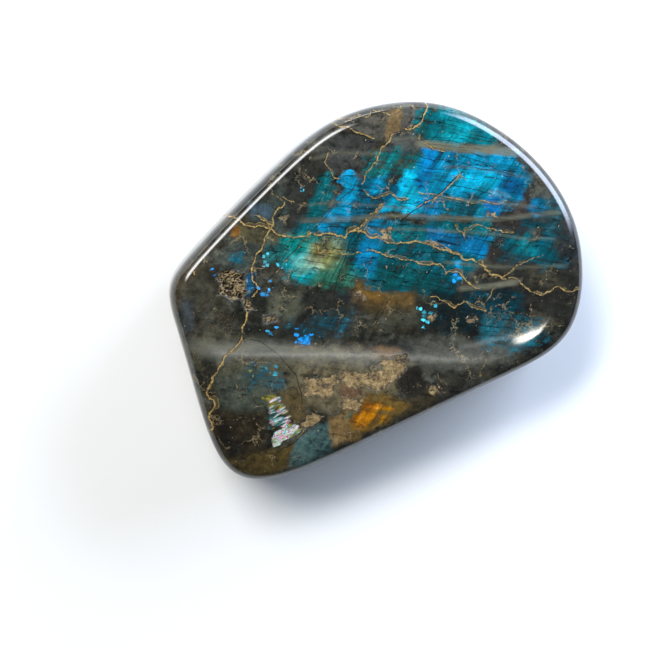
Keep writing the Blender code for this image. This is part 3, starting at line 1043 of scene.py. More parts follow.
@dataclass(frozen=True)
class Schiller:
    """Labradorescence: light thrown back by thin twin layers, in blue and gold blocks ruled by streaks."""

    lamina_deg: float = -34.0
    hatch_deg: float = 26.0
    block_deg: float = 32.0
    lamina_mm: Size = (10.0, 1.1, 5.0)
    hatch_mm: Size = (1.0, 0.18, 1.0)
    layer_mm: float = 1.15
    spark_mm: Size = (1.15, 0.85, 1.0)
    block_mm: Size = (15.0, 2.4, 8.0)
    cloud_mm: float = 2.6
    cover_from: Span = (2.15, 3.1)
    glint_from: Span = (1.18, 1.38)
    glint_share: float = 0.28
    saturation: float = 1.1
    line_width_mm: Span = (0.28, 0.12)
    glint: str = "#a8e8f4"

    def ruled(self, tree: Tree, place: Any, turn_deg: float, size_mm: Size, detail: float) -> Any:
        """Noise drawn out along one direction.

        Args:
            tree: The material's tree.
            place: Where on the stone, in millimetres.
            turn_deg: The direction, anticlockwise from the sawn edge.
            size_mm: The length, width and depth of its streaks.
            detail: How many finer layers of noise it has.

        Returns:
            The noise, around 0.5.
        """
        drawn = add(
            tree, "Mapping", place, Rotation=(0, 0, math.radians(turn_deg)), Scale=size_mm,
            vector_type="TEXTURE",
        )
        return add(tree, "TexNoise", drawn, Scale=1.0, Detail=detail, Roughness=0.6)

    def layers(
        self, tree: Tree, place: Any, turn_deg: float, spacing_mm: float, dark: float, line: float
    ) -> Any:
        """Long thin layers side by side, each of its own shade, parted here and there by a dark line.

        Args:
            tree: The material's tree.
            place: Where on the stone, in millimetres.
            turn_deg: The direction that the layers run in, anticlockwise from the sawn edge.
            spacing_mm: How wide a layer is.
            dark: The shade of the darkest layer, where 1 is plain.
            line: The shade of the lines between them.

        Returns:
            What to multiply a colour by.
        """
        turned = add(tree, "VectorRotate", place, Angle=-math.radians(turn_deg), rotation_type="Z_AXIS")
        across = add(tree, "SeparateXYZ", turned, out="Y")
        bend = self.ruled(tree, place, turn_deg, (spacing_mm * 14, spacing_mm * 4, spacing_mm * 8), 3.0)
        bend = add(tree, "Math MULTIPLY", bend, 5.0)
        phase = add(tree, "Math MULTIPLY_ADD", across, 1 / spacing_mm, bend)
        index = add(tree, "Math FLOOR", phase)
        shade = add(tree, "TexWhiteNoise", W=index, noise_dimensions="1D")
        shade = add(tree, "MapRange", shade, 0.0, 1.0, dark, 2.0 - dark)
        saw = add(tree, "Math FRACT", phase)
        gap = add(tree, "Math SUBTRACT", saw, 0.5)
        gap = add(tree, "Math ABSOLUTE", gap)
        there = self.ruled(tree, place, turn_deg, (spacing_mm * 6, spacing_mm * 0.8, spacing_mm * 4), 1.0)
        there = add(tree, "MapRange", there, 0.44, 0.56)
        inner, outer = (0.5 - width / 2 / spacing_mm for width in self.line_width_mm)
        drawn = add(tree, "MapRange", gap, inner, outer, 0.0, 1.0 - line)
        drawn = add(tree, "Math MULTIPLY", drawn, there)
        drawn = add(tree, "Math SUBTRACT", 1.0, drawn)
        return add(tree, "Math MULTIPLY", shade, drawn)

    def paint(self, tree: Tree, place: Any, under: Any) -> Any:
        """Lays the flash over the ground mass.

        Args:
            tree: The material's tree.
            place: Where on the stone, in millimetres.
            under: The colour under it.

        Returns:
            The colour with the flash.
        """
        flash, strength = read_layer(tree, Layer.FLASH)
        lamina = self.ruled(tree, place, self.lamina_deg, self.lamina_mm, 4.0)
        hatch = self.ruled(tree, place, self.hatch_deg, self.hatch_mm, 3.0)
        block = self.ruled(tree, place, self.block_deg, self.block_mm, 2.0)
        cloud = add(
            tree, "TexNoise", place, Scale=1 / self.cloud_mm, Detail=5.0, Roughness=0.65, W=9.0,
            noise_dimensions="4D",
        )
        edge = add(tree, "Math ADD", lamina, block)
        edge = add(tree, "Math ADD", edge, cloud)
        edge = add(tree, "Math MULTIPLY_ADD", edge, 1.5, strength)
        cover = add(tree, "MapRange", edge, *self.cover_from, interpolation_type="SMOOTHSTEP")
        light = self.layers(tree, place, self.lamina_deg, self.layer_mm, 0.84, 0.25)
        steps = self.layers(tree, place, self.block_deg, self.layer_mm * 2.6, 0.9, 0.45)
        light = add(tree, "Math MULTIPLY", light, steps)
        for noise, low, high, dark, bright in (
            (block, 0.32, 0.68, 0.42, 1.26), (hatch, 0.32, 0.68, 0.66, 1.3), (cloud, 0.34, 0.66, 0.6, 1.36),
            (lamina, 0.34, 0.66, 0.72, 1.2),
        ):
            factor = add(tree, "MapRange", noise, low, high, dark, bright)
            light = add(tree, "Math MULTIPLY", light, factor)
        lit = add(tree, "VectorMath SCALE", flash, light)
        drift = add(tree, "MapRange", block, 0.3, 0.7, 0.48, 0.5)
        lit = add(tree, "HueSaturation", Color=lit, Hue=drift, Saturation=self.saturation)
        glint = add(tree, "Math ADD", hatch, cloud)
        glint = add(tree, "MapRange", glint, *self.glint_from, 0.0, self.glint_share)
        lit = add(tree, "Mix", glint, lit, linear(self.glint), data_type="RGBA")
        colour = add(tree, "Mix", cover, under, lit, data_type="RGBA")
        return self.sparkle(tree, place, colour)

    def sparkle(self, tree: Tree, place: Any, under: Any) -> Any:
        """Lights single grains, each a hard-edged block, where the spark attribute says.

        Args:
            tree: The material's tree.
            place: Where on the stone, in millimetres.
            under: The colour under them.

        Returns:
            The colour with the grains.
        """
        spark, share = read_layer(tree, Layer.SPARK)
        stray = add(tree, "TexNoise", place, Scale=1.4, Detail=3.0, out=1)
        stray = add(tree, "VectorMath SCALE", stray, 0.9)
        stray = add(tree, "VectorMath ADD", place, stray)
        drawn = add(
            tree, "Mapping", stray, Rotation=(0, 0, math.radians(self.lamina_deg)), Scale=self.spark_mm,
            vector_type="TEXTURE",
        )
        cell = add(tree, "TexVoronoi", drawn, Scale=1.0, Exponent=3.0, distance="MINKOWSKI")
        pick = add(tree, "SeparateColor", cell.node.outputs["Color"])
        chosen = add(tree, "Math LESS_THAN", pick, share)
        block = add(tree, "MapRange", cell, 0.55, 0.35)
        cover = add(tree, "Math MULTIPLY", chosen, block)
        tone = add(tree, "MapRange", pick.node.outputs[1], 0.0, 1.0, 0.3, 1.5)
        lit = add(tree, "VectorMath SCALE", spark, tone)
        return add(tree, "Mix", cover, under, lit, data_type="RGBA")


@dataclass(frozen=True)
class SilverSheen:
    """A cleavage seen face on: fine stripes of every colour on silver white."""

    stripe_deg: float = 3.0
    stripe_mm: Size = (3.0, 0.62, 2.5)
    colours: tuple[Stop, ...] = (
        (0.30, "#18241f"), (0.37, "#c8b02c"), (0.41, "#4c5a50"), (0.45, "#2fb4b8"), (0.49, "#eef4f0"),
        (0.53, "#5a6860"), (0.56, "#e85a8c"), (0.60, "#f8faf8"), (0.65, "#2fa860"), (0.70, "#e8e0a0"),
    )

    def paint(self, tree: Tree, place: Any, under: Any) -> Any:
        """Lays the sheen over a colour, where the silver attribute says.

        Args:
            tree: The material's tree.
            place: Where on the stone, in millimetres.
            under: The colour under it.

        Returns:
            The colour with the sheen.
        """
        drawn = add(
            tree, "Mapping", place, Rotation=(0, 0, math.radians(self.stripe_deg)), Scale=self.stripe_mm,
            vector_type="TEXTURE",
        )
        stripes = add(tree, "TexNoise", drawn, Scale=1.0, Detail=2.0)
        colour = add(tree, "ValToRGB", stripes, stops=self.colours)
        cover = add(tree, "Attribute", out="Alpha", attribute_name=Layer.SILVER.value)
        drawn = add(tree, "VectorMath ADD", drawn, (9.0, 4.0, 2.0))
        patchy = add(tree, "TexNoise", drawn, Scale=0.8, Detail=3.0, Roughness=0.6)
        within = add(tree, "MapRange", cover, 0.1, 0.4)
        cover = add(tree, "Math MULTIPLY_ADD", patchy, 2.6, cover)
        cover = add(tree, "MapRange", cover, 1.7, 2.0, 0.0, 0.92)
        cover = add(tree, "Math MULTIPLY", cover, within)
        return add(tree, "Mix", cover, under, colour, data_type="RGBA")


@dataclass(frozen=True)
class VeinFilling:
    """Clay and iron stain in healed cracks: tan to gold lines that fork, rejoin, thin out and break off."""

    tan: str = "#665634"
    gold: str = "#c6a562"
    between: str = "#52462e"
    smoke: str = "#6c6c58"
    dark: str = "#0b0c0a"
    wobble_mm: float = 0.21
    edge_mm: float = 0.06
    seam_edge_mm: float = 0.35
    seam_deg: float = -31.0
    wisp_mm: Size = (7.0, 0.5, 3.0)
    kept_from: Span = (1.1, 1.24)
    twin_share: float = 0.35
    stain_share: float = 0.6
    shadow_mm: float = 0.2
    shadow_share: float = 0.7
    thickness: float = 0.4
    crack_share: float = 0.5
    fork_mm: float = 0.9

    def line(self, tree: Tree, distance: Any, half: Any, edge_mm: float) -> Any:
        """How strongly a line covers the surface.

        Args:
            tree: The material's tree.
            distance: The distance to the line's middle, in millimetres.
            half: Half the line's width, in millimetres.
            edge_mm: How soft its edges are.

        Returns:
            A share from 0 to 1.
        """
        distance = add(tree, "Math ABSOLUTE", distance)
        spare = add(tree, "Math SUBTRACT", half, distance)
        return add(tree, "MapRange", spare, -edge_mm, edge_mm)

    def paint(self, tree: Tree, place: Any, under: Any) -> tuple[Any, Any]:
        """Draws the veins and cracks over a colour.

        Args:
            tree: The material's tree.
            place: Where on the stone, in millimetres.
            under: The colour under them.

        Returns:
            The colour with the veins, and how strongly the pale veins cover it.
        """
        stray = add(tree, "TexNoise", place, Scale=2.2, Detail=4.0, Roughness=0.75)
        wobble = add(tree, "MapRange", stray, 0.2, 0.8, -self.wobble_mm, self.wobble_mm)
        swell = add(
            tree, "TexNoise", place, Scale=0.85, Detail=5.0, Roughness=0.78, W=7.0, noise_dimensions="4D",
        )
        swell = add(tree, "MapRange", swell, 0.38, 0.64, 0.02 * self.thickness, 2.7 * self.thickness)
        fork = add(tree, "TexNoise", place, Scale=0.28, Detail=2.0, W=1.0, noise_dimensions="4D")
        fork = add(tree, "MapRange", fork, 0.5, 0.62, 0.0, self.fork_mm)
        broken = add(tree, "TexNoise", place, Scale=0.7, Detail=3.0, W=3.0, noise_dimensions="4D")
        drawn = add(
            tree, "Mapping", place, Rotation=(0, 0, math.radians(self.seam_deg)), Scale=self.wisp_mm,
            vector_type="TEXTURE",
        )
        wisps = add(tree, "TexNoise", drawn, Scale=1.0, Detail=4.0, Roughness=0.7)
        wisps = add(tree, "MapRange", wisps, 0.35, 0.6, 0.35)
        colour, pale = under, None
        for filling in (Filling.SMOKY, Filling.DARK, Filling.PALE, Filling.PALE_CROSSING):
            vein = add(tree, "Attribute", out="Vector", attribute_name=filling.value)
            gap, strength, width = add(tree, "SeparateXYZ", vein).node.outputs
            if filling is Filling.SMOKY:
                smoke = self.line(tree, gap, width, self.seam_edge_mm)
                smoke = add(tree, "Math MULTIPLY", smoke, strength)
                smoke = add(tree, "Math MULTIPLY", smoke, wisps)
                colour = add(tree, "Mix", smoke, colour, linear(self.smoke), data_type="RGBA")
                continue
            distance = add(tree, "Math ADD", gap, wobble)
            there = add(tree, "Math ADD", broken, strength)
            there = add(tree, "MapRange", there, *self.kept_from)
            half = add(tree, "Math MULTIPLY", width, swell)
            cover = self.line(tree, distance, half, self.edge_mm)
            if filling is Filling.DARK:
                even = add(tree, "Math MULTIPLY", width, self.crack_share)
                cover = self.line(tree, gap, even, self.edge_mm)
                cover = add(tree, "Math MULTIPLY", cover, there)
                colour = add(tree, "Mix", cover, colour, linear(self.dark), data_type="RGBA")
                continue
            apart = add(tree, "Math MULTIPLY", fork, width)
            apart = add(tree, "Math MULTIPLY", apart, 4.0)
            second = add(tree, "Math SUBTRACT", distance, apart)
            thin = add(tree, "Math MULTIPLY", half, self.twin_share)
            twin = self.line(tree, second, thin, self.edge_mm)
            middle = add(tree, "Math MULTIPLY", apart, 0.5)
            from_middle = add(tree, "Math SUBTRACT", distance, middle)
            stained = self.line(tree, from_middle, middle, self.edge_mm * 2)
            stained = add(tree, "Math MULTIPLY", stained, there)
            stained = add(tree, "Math MULTIPLY", stained, self.stain_share)
            colour = add(tree, "Mix", stained, colour, linear(self.between), data_type="RGBA")
            cover = add(tree, "Math MAXIMUM", cover, twin)
            # A painted shadow: a dark line along one side of each pale vein.
            shadow = add(tree, "Math ADD", distance, self.shadow_mm)
            shadow = self.line(tree, shadow, half, self.edge_mm * 2)
            shadow = add(tree, "Math MULTIPLY", shadow, there)
            shadow = add(tree, "Math MULTIPLY", shadow, self.shadow_share)
            colour = add(tree, "Mix", shadow, colour, linear(self.dark), data_type="RGBA")
            cover = add(tree, "Math MULTIPLY", cover, there)
            pale = cover if pale is None else add(tree, "Math MAXIMUM", pale, cover)
        stain = add(tree, "TexNoise", place, Scale=1.7, Detail=4.0, Roughness=0.7)
        stain = add(tree, "MapRange", stain, 0.36, 0.64)
        filler = add(tree, "Mix", stain, linear(self.tan), linear(self.gold), data_type="RGBA")
        colour = add(tree, "Mix", pale, colour, filler, data_type="RGBA")
        return colour, pale


@dataclass(frozen=True)
class WeatheredCrust:
    """Feldspar weathered to clay, never polished: chalky beige scars ringed by painted shade, brown ridges
    over hollows painted black as shade.
    """

    # Painted shade round the scars' edges, and the darkest speck of the chalk.
    shadow: str = "#2e271b"
    chalk_dark: str = "#6e5a36"
    chalk: str = "#92794c"
    chalk_light: str = "#b49c6e"
    ridge: str = "#8c7852"
    # Painted shade in the hollows of the pits.
    shaded_hollow: str = "#0d0b09"
    shaded_rim_from: Span = (1.5, 1.62)
    scar_from: Span = (1.62, 1.7)
    pit_from: Span = (0.55, 0.75)

    def paint(self, tree: Tree, place: Any, under: Any) -> tuple[Any, Any]:
        """Lays the crust over a colour, where the crust and pit attributes say.

        Args:
            tree: The material's tree.
            place: Where on the stone, in millimetres.
            under: The colour under it.

        Returns:
            The colour with the crust, and how strongly the crust covers it.
        """
        ragged = add(tree, "TexNoise", place, Scale=1.1, Detail=5.0, Roughness=0.7)
        scar = add(tree, "Attribute", out="Alpha", attribute_name=Layer.CRUST.value)
        scar = add(tree, "Math MULTIPLY_ADD", ragged, 2.4, scar)
        # A ring of painted shade round each scar's edge.
        rim = add(tree, "MapRange", scar, *self.shaded_rim_from, 0.0, 0.8)
        scar = add(tree, "MapRange", scar, *self.scar_from)
        powder = add(tree, "TexNoise", place, Scale=0.5, Detail=8.0, Roughness=0.84, Distortion=0.3)
        tones = (0.41, self.shadow), (0.465, self.chalk_dark), (0.53, self.chalk), (0.61, self.chalk_light)
        chalk = add(tree, "ValToRGB", powder, stops=tones)
        under = add(tree, "Mix", rim, under, linear(self.shadow), data_type="RGBA")
        colour = add(tree, "Mix", scar, under, chalk, data_type="RGBA")
        pit = add(tree, "Attribute", out="Alpha", attribute_name=Layer.PIT.value)
        pit = add(tree, "Math MULTIPLY_ADD", ragged, 0.5, pit)
        pit = add(tree, "MapRange", pit, *self.pit_from)
        # Tan on the ridges and black in the hollows between them: the black is painted shade.
        ridges = add(tree, "Attribute", out="Fac", attribute_name="ridges")
        ridges_and_painted_shade = add(tree, "Mix", ridges, linear(self.shaded_hollow), linear(self.ridge), data_type="RGBA")
        colour = add(tree, "Mix", pit, colour, ridges_and_painted_shade, data_type="RGBA")
        sunk = add(tree, "Attribute", out="Alpha", attribute_name=Layer.PIT.value)
        sunk = add(tree, "MapRange", sunk, 0.01, 0.1, 0.0, 0.9)
        scar = add(tree, "Math MAXIMUM", scar, pit)
        return colour, add(tree, "Math MAXIMUM", scar, sunk)


@dataclass(frozen=True)
class Polish:
    """A lapidary's last polish with tin oxide: a wet gloss, faintly rippled by hand work."""

    index_of_refraction: float = 1.56
    polished_roughness: float = 0.05
    vein_roughness: float = 0.3
    crust_roughness: float = 0.75
    ripple_mm: float = 6.0
    ripple_height_mm: float = 0.012
    grit_height_mm: float = 0.12

    def finish(self, tree: Tree, place: Any, colour: Any, vein: Any, crust: Any) -> None:
        """Joins the colour, gloss and fine relief in the surface's shader.

        Args:
            tree: The material's tree.
            place: Where on the stone, in millimetres.
            colour: The surface's colour.
            vein: How strongly veins cover it.
            crust: How strongly crust covers it.
        """
        rough = add(tree, "MapRange", vein, 0.0, 1.0, self.polished_roughness, self.vein_roughness)
        rough = add(tree, "Mix", crust, rough, self.crust_roughness, data_type="FLOAT")
        ripple = add(tree, "TexNoise", place, Scale=1 / self.ripple_mm, Detail=1.0)
        bump = add(tree, "Bump", Strength=1.0, Distance=self.ripple_height_mm * MM, Height=ripple)
        grit = add(tree, "TexNoise", place, Scale=2.6, Detail=4.0, Roughness=0.7)
        grit = add(tree, "Math MULTIPLY", grit, crust)
        bump = add(tree, "Bump", Strength=1.0, Distance=self.grit_height_mm * MM, Height=grit, Normal=bump)
        shader = add(
            tree, "BsdfPrincipled", colour, Roughness=rough, Normal=bump, IOR=self.index_of_refraction,
        )
        add(tree, "OutputMaterial", shader)


@dataclass(frozen=True)
class PolishedLabradorite:
    """The stone's material, put together from the ground mass outwards."""

    ground: GroundMass = GroundMass()
    schiller: Schiller = Schiller()
    silver: SilverSheen = SilverSheen()
    veins: VeinFilling = VeinFilling()
    crust: WeatheredCrust = WeatheredCrust()
    polish: Polish = Polish()

    def tinted(self, tree: Tree, under: Any, layer: Layer) -> Any:
        """Lays one layer of patches over a colour.

        Args:
            tree: The material's tree.
            under: The colour under them.
            layer: The layer.

        Returns:
            The colour with the layer.
        """
        patch = add(tree, "Attribute", attribute_name=layer.value)
        through = add(tree, "Math SUBTRACT", 1.0, patch.node.outputs["Alpha"])
        kept = add(tree, "VectorMath SCALE", under, through)
        return add(tree, "VectorMath ADD", kept, patch)

    def make(self) -> bpy.types.Material:
        """Builds the material."""
        material = bpy.data.materials.new("polished_labradorite")
        material.use_nodes = True
        tree = material.node_tree
        tree.nodes.clear()
        metres = add(tree, "TexCoord", out="Object")
        place = add(tree, "VectorMath SCALE", metres, 1 / MM)
        colour = self.ground.paint(tree, place)
        colour = self.tinted(tree, colour, Layer.TINT)
        mottle = self.ground.mottle(tree, place)
        colour = add(tree, "VectorMath SCALE", colour, mottle)
        colour = self.schiller.paint(tree, place, colour)
        colour = self.ground.scatter_grains(tree, place, colour)
        colour = self.ground.web(tree, place, colour)
        # The pale haze band, partly a painted reflection.
        colour = self.tinted(tree, colour, Layer.HAZE_AND_REFLECTION)
        colour = self.silver.paint(tree, place, colour)
        colour, vein = self.veins.paint(tree, place, colour)
        colour, crust = self.crust.paint(tree, place, colour)
        self.polish.finish(tree, place, colour, vein, crust)
        return material


@dataclass(frozen=True)
class Slab:
    """The stone's form: the CAD solid's own outline, shoulders and relief at a finer spacing."""

    thickness_mm: float = 23.0
    girdle_mm: float = 10.0
    outline_control_mm: tuple[tuple[float, float], ...] = (
        (-20, -36), (0, -36), (18, -36), (32, -36.2), (40.4, -32.3), (46.4, -23.5), (50, -12.8), (50.3, -3),
        (47.8, 7.9), (42.3, 18.6), (34.4, 28), (24.5, 33.7), (13, 36.2), (3, 35.9), (-10, 31.8), (-24, 26.6),
        (-37, 21.4), (-44.5, 17.4), (-45.8, 7), (-48, -6), (-50.2, -19), (-49.8, -30), (-41, -35.9),
    )
    steps_per_span: int = 12
    front_shoulder: float = 0.15
    front_inward_power: float = 3.2
    front_upward_power: float = 6.0
    back_shoulder: float = 0.13
    back_power: float = 2.6
    dome_mm: float = 1.3
    half_length_mm: float = 50.0
    half_width_mm: float = 36.0
    ridge_point_mm: tuple[float, float] = (-44.8, 2.1)
    ridge_downhill: tuple[float, float] = (-0.458, -0.889)
    ridge_slope: float = 0.05
    ridge_softness_mm: float = 3.0
    wave_mm: float = 0.08
    wave_lengths_mm: tuple[float, float] = (13.0, 10.0)
    face_rings: int = 80
    shoulder_rings: int = 26
    wall_rings: int = 18
    profile_steps: int = 400
    rough_cuts: int = 2
    rough_from: float = 0.1
    relief: WeatheredRelief = field(default_factory=WeatheredRelief)

    def outline(self, count: int) -> np.ndarray:
        """The slab's outline: a closed cubic B-spline, centred on its bounding box.

        Args:
            count: How many points to return.

        Returns:
            X and Y in millimetres, evenly spaced, starting where the outline crosses +X.
        """
        control = np.array(self.outline_control_mm, float)
        t = (np.arange(self.steps_per_span) / self.steps_per_span)[:, None]
        middle = (3 * t**3 - 6 * t**2 + 4) / 6, (-3 * t**3 + 3 * t**2 + 3 * t + 1) / 6
        weights = ((1 - t) ** 3 / 6, *middle, t**3 / 6)
        points = np.concatenate([
            sum(w * control[(i + k - 1) % len(control)] for k, w in enumerate(weights))
            for i in range(len(control))
        ])
        points -= (points.min(axis=0) + points.max(axis=0)) / 2
        start = int(np.argmin(np.abs(np.arctan2(points[:, 1], points[:, 0]))))
        return evenly(np.roll(points, -start, axis=0), count, closed=True)

    def face_height(self, x: np.ndarray, y: np.ndarray) -> np.ndarray:
        """The height of the polished face at X and Y, in millimetres."""
        dome = self.dome_mm * ((x / self.half_length_mm) ** 2 + (y / self.half_width_mm) ** 2)
        downhill = (x - self.ridge_point_mm[0]) * self.ridge_downhill[0]
        downhill = downhill + (y - self.ridge_point_mm[1]) * self.ridge_downhill[1]
        soft = self.ridge_softness_mm
        slope = self.ridge_slope * soft * np.logaddexp(0, downhill / soft)
        waves = np.sin(x / self.wave_lengths_mm[0] + 0.6) * np.sin(y / self.wave_lengths_mm[1] - 0.4)
        return self.thickness_mm - dome - slope + self.wave_mm * waves

    def shoulder_profile(self) -> np.ndarray:
        """The front shoulder from the face's edge to the rim: the share of the outline and of the rise."""
        angles = np.linspace(0, math.pi / 2, self.profile_steps)
        inward = 2 / self.front_inward_power
        share = 1 - self.front_shoulder + self.front_shoulder * np.sin(angles) ** inward
        rise = np.clip(np.cos(angles), 0, 1) ** (2 / self.front_upward_power)
        drawn = np.column_stack([share * self.half_width_mm, rise * (self.thickness_mm - self.girdle_mm)])
        even = evenly(drawn, self.shoulder_rings + 1, closed=False)
        return even / (self.half_width_mm, self.thickness_mm - self.girdle_mm)

    def wall_profile(self) -> np.ndarray:
        """The wall from the rim to the flat back: the share of the outline, and the height in mm."""
        angles = np.linspace(math.pi / 2, 0, self.profile_steps)
        share = 1 - self.back_shoulder + self.back_shoulder * np.sin(angles) ** (2 / self.back_power)
        height = self.girdle_mm * (1 - np.clip(np.cos(angles), 0, 1) ** (2 / self.back_power))
        drawn = np.column_stack([share * self.half_width_mm, height])
        return evenly(drawn, self.wall_rings + 1, closed=False) / (self.half_width_mm, 1.0)

    def grid_turns(self) -> tuple[np.ndarray, np.ndarray]:
        """A square grid wrapped round the centre.

        Returns:
            For each of the grid's points, in rows, its ring and its share of a turn round that ring.
        """
        steps = np.arange(-self.face_rings, self.face_rings + 1)
        a, b = (axis.ravel().astype(float) for axis in np.meshgrid(steps, steps))
        rings = np.maximum(np.abs(a), np.abs(b))
        sideways = np.abs(a) >= np.abs(b)
        with np.errstate(divide="ignore", invalid="ignore"):
            turns = np.where(
                sideways,
                np.where(a > 0, 0.0, 0.5) + np.nan_to_num(b / a) / 8,
                np.where(b > 0, 0.25, 0.75) - np.nan_to_num(a / b) / 8,
            )
        return rings.astype(int), turns % 1.0

    def surface(self) -> tuple[np.ndarray, list[tuple[int, ...]]]:
        """The whole closed surface before the rough spots are sunk into it.

        Returns:
            Its vertices in millimetres, and its faces.
        """
        around = 8 * self.face_rings
        outline = self.outline(around)
        rings, turns = self.grid_turns()
        spots = np.round(turns * around, 6)
        low = np.floor(spots).astype(int)
        share = (spots - low)[:, None]
        on_rim = outline[low % around] * (1 - share) + outline[(low + 1) % around] * share
        flat = on_rim * (rings / self.face_rings)[:, None]
        side = 2 * self.face_rings + 1
        grid = [
            (r * side + c, r * side + c + 1, (r + 1) * side + c + 1, (r + 1) * side + c)
            for r in range(side - 1) for c in range(side - 1)
        ]
        outermost = rings == self.face_rings
        edge = [int(np.flatnonzero(outermost & (np.abs(spots - k) < 1e-3))[0]) for k in range(around)]
        shoulder = self.shoulder_profile()
        wall = self.wall_profile()
        parts = [np.column_stack([flat * shoulder[0, 0], np.zeros(len(flat))])]
        parts[0][:, 2] = self.face_height(parts[0][:, 0], parts[0][:, 1])
        loops = [edge]
        for out, rise in shoulder[1:]:
            place = outline * out
            height = self.girdle_mm + (self.face_height(*place.T) - self.girdle_mm) * rise
            loops.append(list(range(sum(map(len, parts)), sum(map(len, parts)) + around)))
            parts.append(np.column_stack([place, height]))
        for out, height in wall[1:-1]:
            loops.append(list(range(sum(map(len, parts)), sum(map(len, parts)) + around)))
            parts.append(np.column_stack([outline * out, np.full(around, height)]))
        base = sum(map(len, parts))
        parts.append(np.column_stack([flat * wall[-1, 0], np.zeros(len(flat))]))
        loops.append([base + index for index in edge])
        faces = grid + [tuple(base + index for index in reversed(face)) for face in grid]
        for inner, outer in zip(loops, loops[1:]):
            faces += [
                (inner[i], outer[i], outer[(i + 1) % around], inner[(i + 1) % around]) for i in range(around)
            ]
        return np.vstack(parts), faces

    def refine(self, mesh: bpy.types.Mesh, markings: Markings) -> None:
        """Cuts the faces of the rough spots finer, so that their ridges are real.

        Args:
            mesh: The surface.
            markings: What tells where the rough spots are.
        """
        places = vertex_places(mesh)
        rough = np.zeros(len(places))
        for patch in markings.patches:
            if patch.layer in (Layer.PIT, Layer.CRUST):
                rough = np.maximum(rough, markings.cover(patch, places[:, :2]))
        rough[places[:, 2] < self.girdle_mm] = 0.0
        bm = bmesh.new()
        bm.from_mesh(mesh)
        bm.verts.ensure_lookup_table()
        for face in bm.faces:
            face.tag = min(rough[v.index] for v in face.verts) > self.rough_from
        edges = [e for e in bm.edges if any(face.tag for face in e.link_faces)]
        bmesh.ops.subdivide_edges(bm, edges=edges, cuts=self.rough_cuts, use_grid_fill=True)
        bm.to_mesh(mesh)
        bm.free()

    def make(self, markings: Markings, material: bpy.types.Material) -> bpy.types.Object:
        """Builds the stone, marks it and carves its rough spots.

        Args:
            markings: The patches and veins.
            material: What it is made of.

        Returns:
            The finished stone.
        """
        vertices, faces = self.surface()
        mesh = bpy.data.meshes.new("labradorite_slab")
        mesh.from_pydata((vertices * MM).tolist(), [], faces)
        self.refine(mesh, markings)
        mesh.shade_smooth()
        places = vertex_places(mesh)
        normals = np.empty(len(places) * 3, np.float32)
        mesh.vertex_normals.foreach_get("vector", normals)
        markings.lay_patches(mesh, places, normals.reshape(-1, 3)[:, 2])
        markings.lay_veins(mesh, places)
        stone = bpy.data.objects.new("labradorite_slab", mesh)
        bpy.context.scene.collection.objects.link(stone)
        mesh.materials.append(material)
        self.relief.carve(stone, material)
        return stone


def vertex_places(mesh: bpy.types.Mesh) -> np.ndarray:
    """Each vertex's place in millimetres."""
    flat = np.empty(len(mesh.vertices) * 3, np.float32)
    mesh.vertices.foreach_get("co", flat)
    return flat.reshape(-1, 3).astype(float) / MM


@dataclass(frozen=True)
class Softbox:
    """A flat light that faces the stone, placed by its direction in the photograph."""

    name: str
    heading_deg: float
    elevation_deg: float
    distance_m: float
    size_m: tuple[float, float]
    brightness: float
    long_side_deg: float
    fade: tuple[float, float]
    colour: str = "#ffffff"

    def soften(self, data: bpy.types.AreaLight) -> None:
        """Lets the light fade towards its edges, by the share of each side that fade gives."""
        data.use_nodes = True
        tree = data.node_tree
        tree.nodes.clear()
        across = add(tree, "NewGeometry", out="Parametric")
        sides = add(tree, "SeparateXYZ", across).node.outputs
        glow = 1.0
        for side, share in enumerate(self.fade):
            inwards = add(tree, "Math SUBTRACT", sides[side], 0.5)
            inwards = add(tree, "Math ABSOLUTE", inwards)
            inwards = add(tree, "MapRange", inwards, 0.5, 0.5 - share / 2, interpolation_type="SMOOTHSTEP")
            glow = add(tree, "Math MULTIPLY", glow, inwards)
        shine = add(tree, "Emission", Strength=glow)
        add(tree, "OutputLight", shine)

    def make(self, view: Viewpoint) -> bpy.types.Object:
        """Adds the light.

        Args:
            view: What turns the photograph's directions into the table's.

        Returns:
            The light, with its long side along long_side_deg.
        """
        rise = math.radians(self.elevation_deg)
        away = view.heading(self.heading_deg) * math.cos(rise) + np.array([0, 0, math.sin(rise)])
        up = np.cross(away, view.heading(self.long_side_deg))
        up /= np.linalg.norm(up)
        data = bpy.data.lights.new(self.name, "AREA")
        data.shape = "RECTANGLE"
        data.size, data.size_y = self.size_m
        data.energy = self.brightness * math.pi * self.size_m[0] * self.size_m[1]
        data.color = linear(self.colour)[:3]
        self.soften(data)
        light = bpy.data.objects.new(self.name, data)
        turn = Matrix([np.cross(up, away), up, away]).transposed().to_4x4()
        place = np.array(view.aim_mm) * MM + away * self.distance_m
        light.matrix_world = Matrix.Translation(Vector(place)) @ turn
        bpy.context.scene.collection.objects.link(light)
        return light


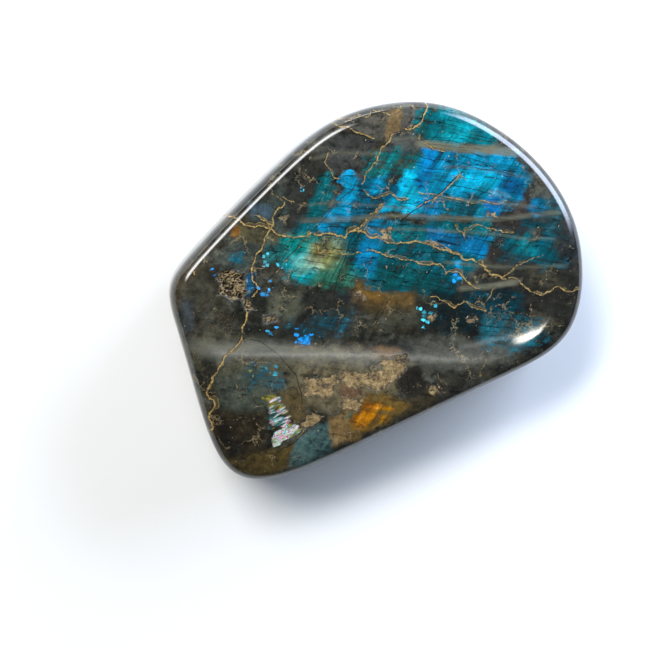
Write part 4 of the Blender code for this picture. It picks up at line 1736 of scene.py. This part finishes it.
@dataclass(frozen=True)
class Studio:
    """A plain pale floor and soft light."""

    view: Viewpoint
    floor_colour: str = "#fafaf8"
    floor_size_m: float = 3.0
    floor_roughness: float = 0.9
    floor_gap_mm: float = 0.02
    surroundings: str = "#5c6268"
    softboxes: tuple[Softbox, ...] = (
        Softbox("key_window", 131.0, 47.0, 1.0, (0.85, 0.46), 18.5, 41.0, (0.35, 0.8)),
        Softbox("ceiling_glow", 131.0, 30.0, 1.6, (1.6, 0.3), 2.5, 41.0, (0.5, 1.0)),
        Softbox("low_sky", 38.0, 15.0, 0.45, (0.5, 0.3), 18.0, 128.0, (0.5, 0.5), "#d2e2ff"),
        Softbox("low_glow", 98.0, 5.0, 0.5, (0.2, 0.08), 8.0, 8.0, (0.6, 0.6)),
        Softbox("low_edge", 137.0, 4.0, 0.5, (0.3, 0.05), 7.0, 47.0, (0.6, 0.6)),
        Softbox("small_window", -28.4, 66.7, 1.089, (0.066, 0.03), 30.0, 12.0, (0.4, 0.4), "#fff6e8"),
        Softbox("window_tail", -33.0, 69.6, 1.067, (0.12, 0.022), 2.6, 12.0, (1.0, 0.8)),
        Softbox("lamp_tube", -63.6, 75.2, 1.034, (0.5, 0.022), 2.6, -8.6, (0.6, 0.9)),
        Softbox("lamp_glow", -63.6, 76.0, 1.034, (0.6, 0.1), 1.0, -8.6, (0.5, 1.0)),
    )

    def make_floor(self) -> bpy.types.Object:
        """Adds the floor that the stone lies on."""
        bm = bmesh.new()
        bmesh.ops.create_grid(bm, x_segments=1, y_segments=1, size=self.floor_size_m / 2)
        mesh = bpy.data.meshes.new("pale_floor")
        bm.to_mesh(mesh)
        bm.free()
        paper = bpy.data.materials.new("matt_paper")
        paper.use_nodes = True
        shader = paper.node_tree.nodes["Principled BSDF"]
        shader.inputs["Base Color"].default_value = linear(self.floor_colour)
        shader.inputs["Roughness"].default_value = self.floor_roughness
        shader.inputs["Specular IOR Level"].default_value = 0.0
        mesh.materials.append(paper)
        floor = bpy.data.objects.new("pale_floor", mesh)
        floor.location.z = -self.floor_gap_mm * MM
        bpy.context.scene.collection.objects.link(floor)
        return floor

    def make_lights(self) -> None:
        """Adds the softboxes and the dim surroundings."""
        for box in self.softboxes:
            box.make(self.view)
        world = bpy.data.worlds.new("dim_room")
        world.use_nodes = True
        world.node_tree.nodes["Background"].inputs["Color"].default_value = linear(self.surroundings)
        bpy.context.scene.world = world


def main() -> None:
    """Builds the stone and the studio around it."""
    logging.basicConfig(level=logging.INFO, format="%(name)s: %(message)s")
    view = Viewpoint()
    front = TINTS + FLASHES + SPARKS + HAZE_AND_REFLECTION_PATCHES + SCARS + PITS + SILVER_PATCHES
    markings = Markings(view, front + BACK_FLASHES + BACK_TINTS, VEINS)
    stone = Slab().make(markings, PolishedLabradorite().make())
    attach(stone, "root")
    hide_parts(STONE_NODE)
    triangles = sum(len(face.vertices) - 2 for face in stone.data.polygons)
    log.info("%s: %d triangles", stone.name, triangles)
    studio = Studio(view)
    floor = studio.make_floor()
    studio.make_lights()
    view.make_camera()
    bpy.context.scene.view_settings.view_transform = "Standard"
    log.info("studio: %s and %d softboxes", floor.name, len(studio.softboxes))


if __name__ == "__main__":
    main()
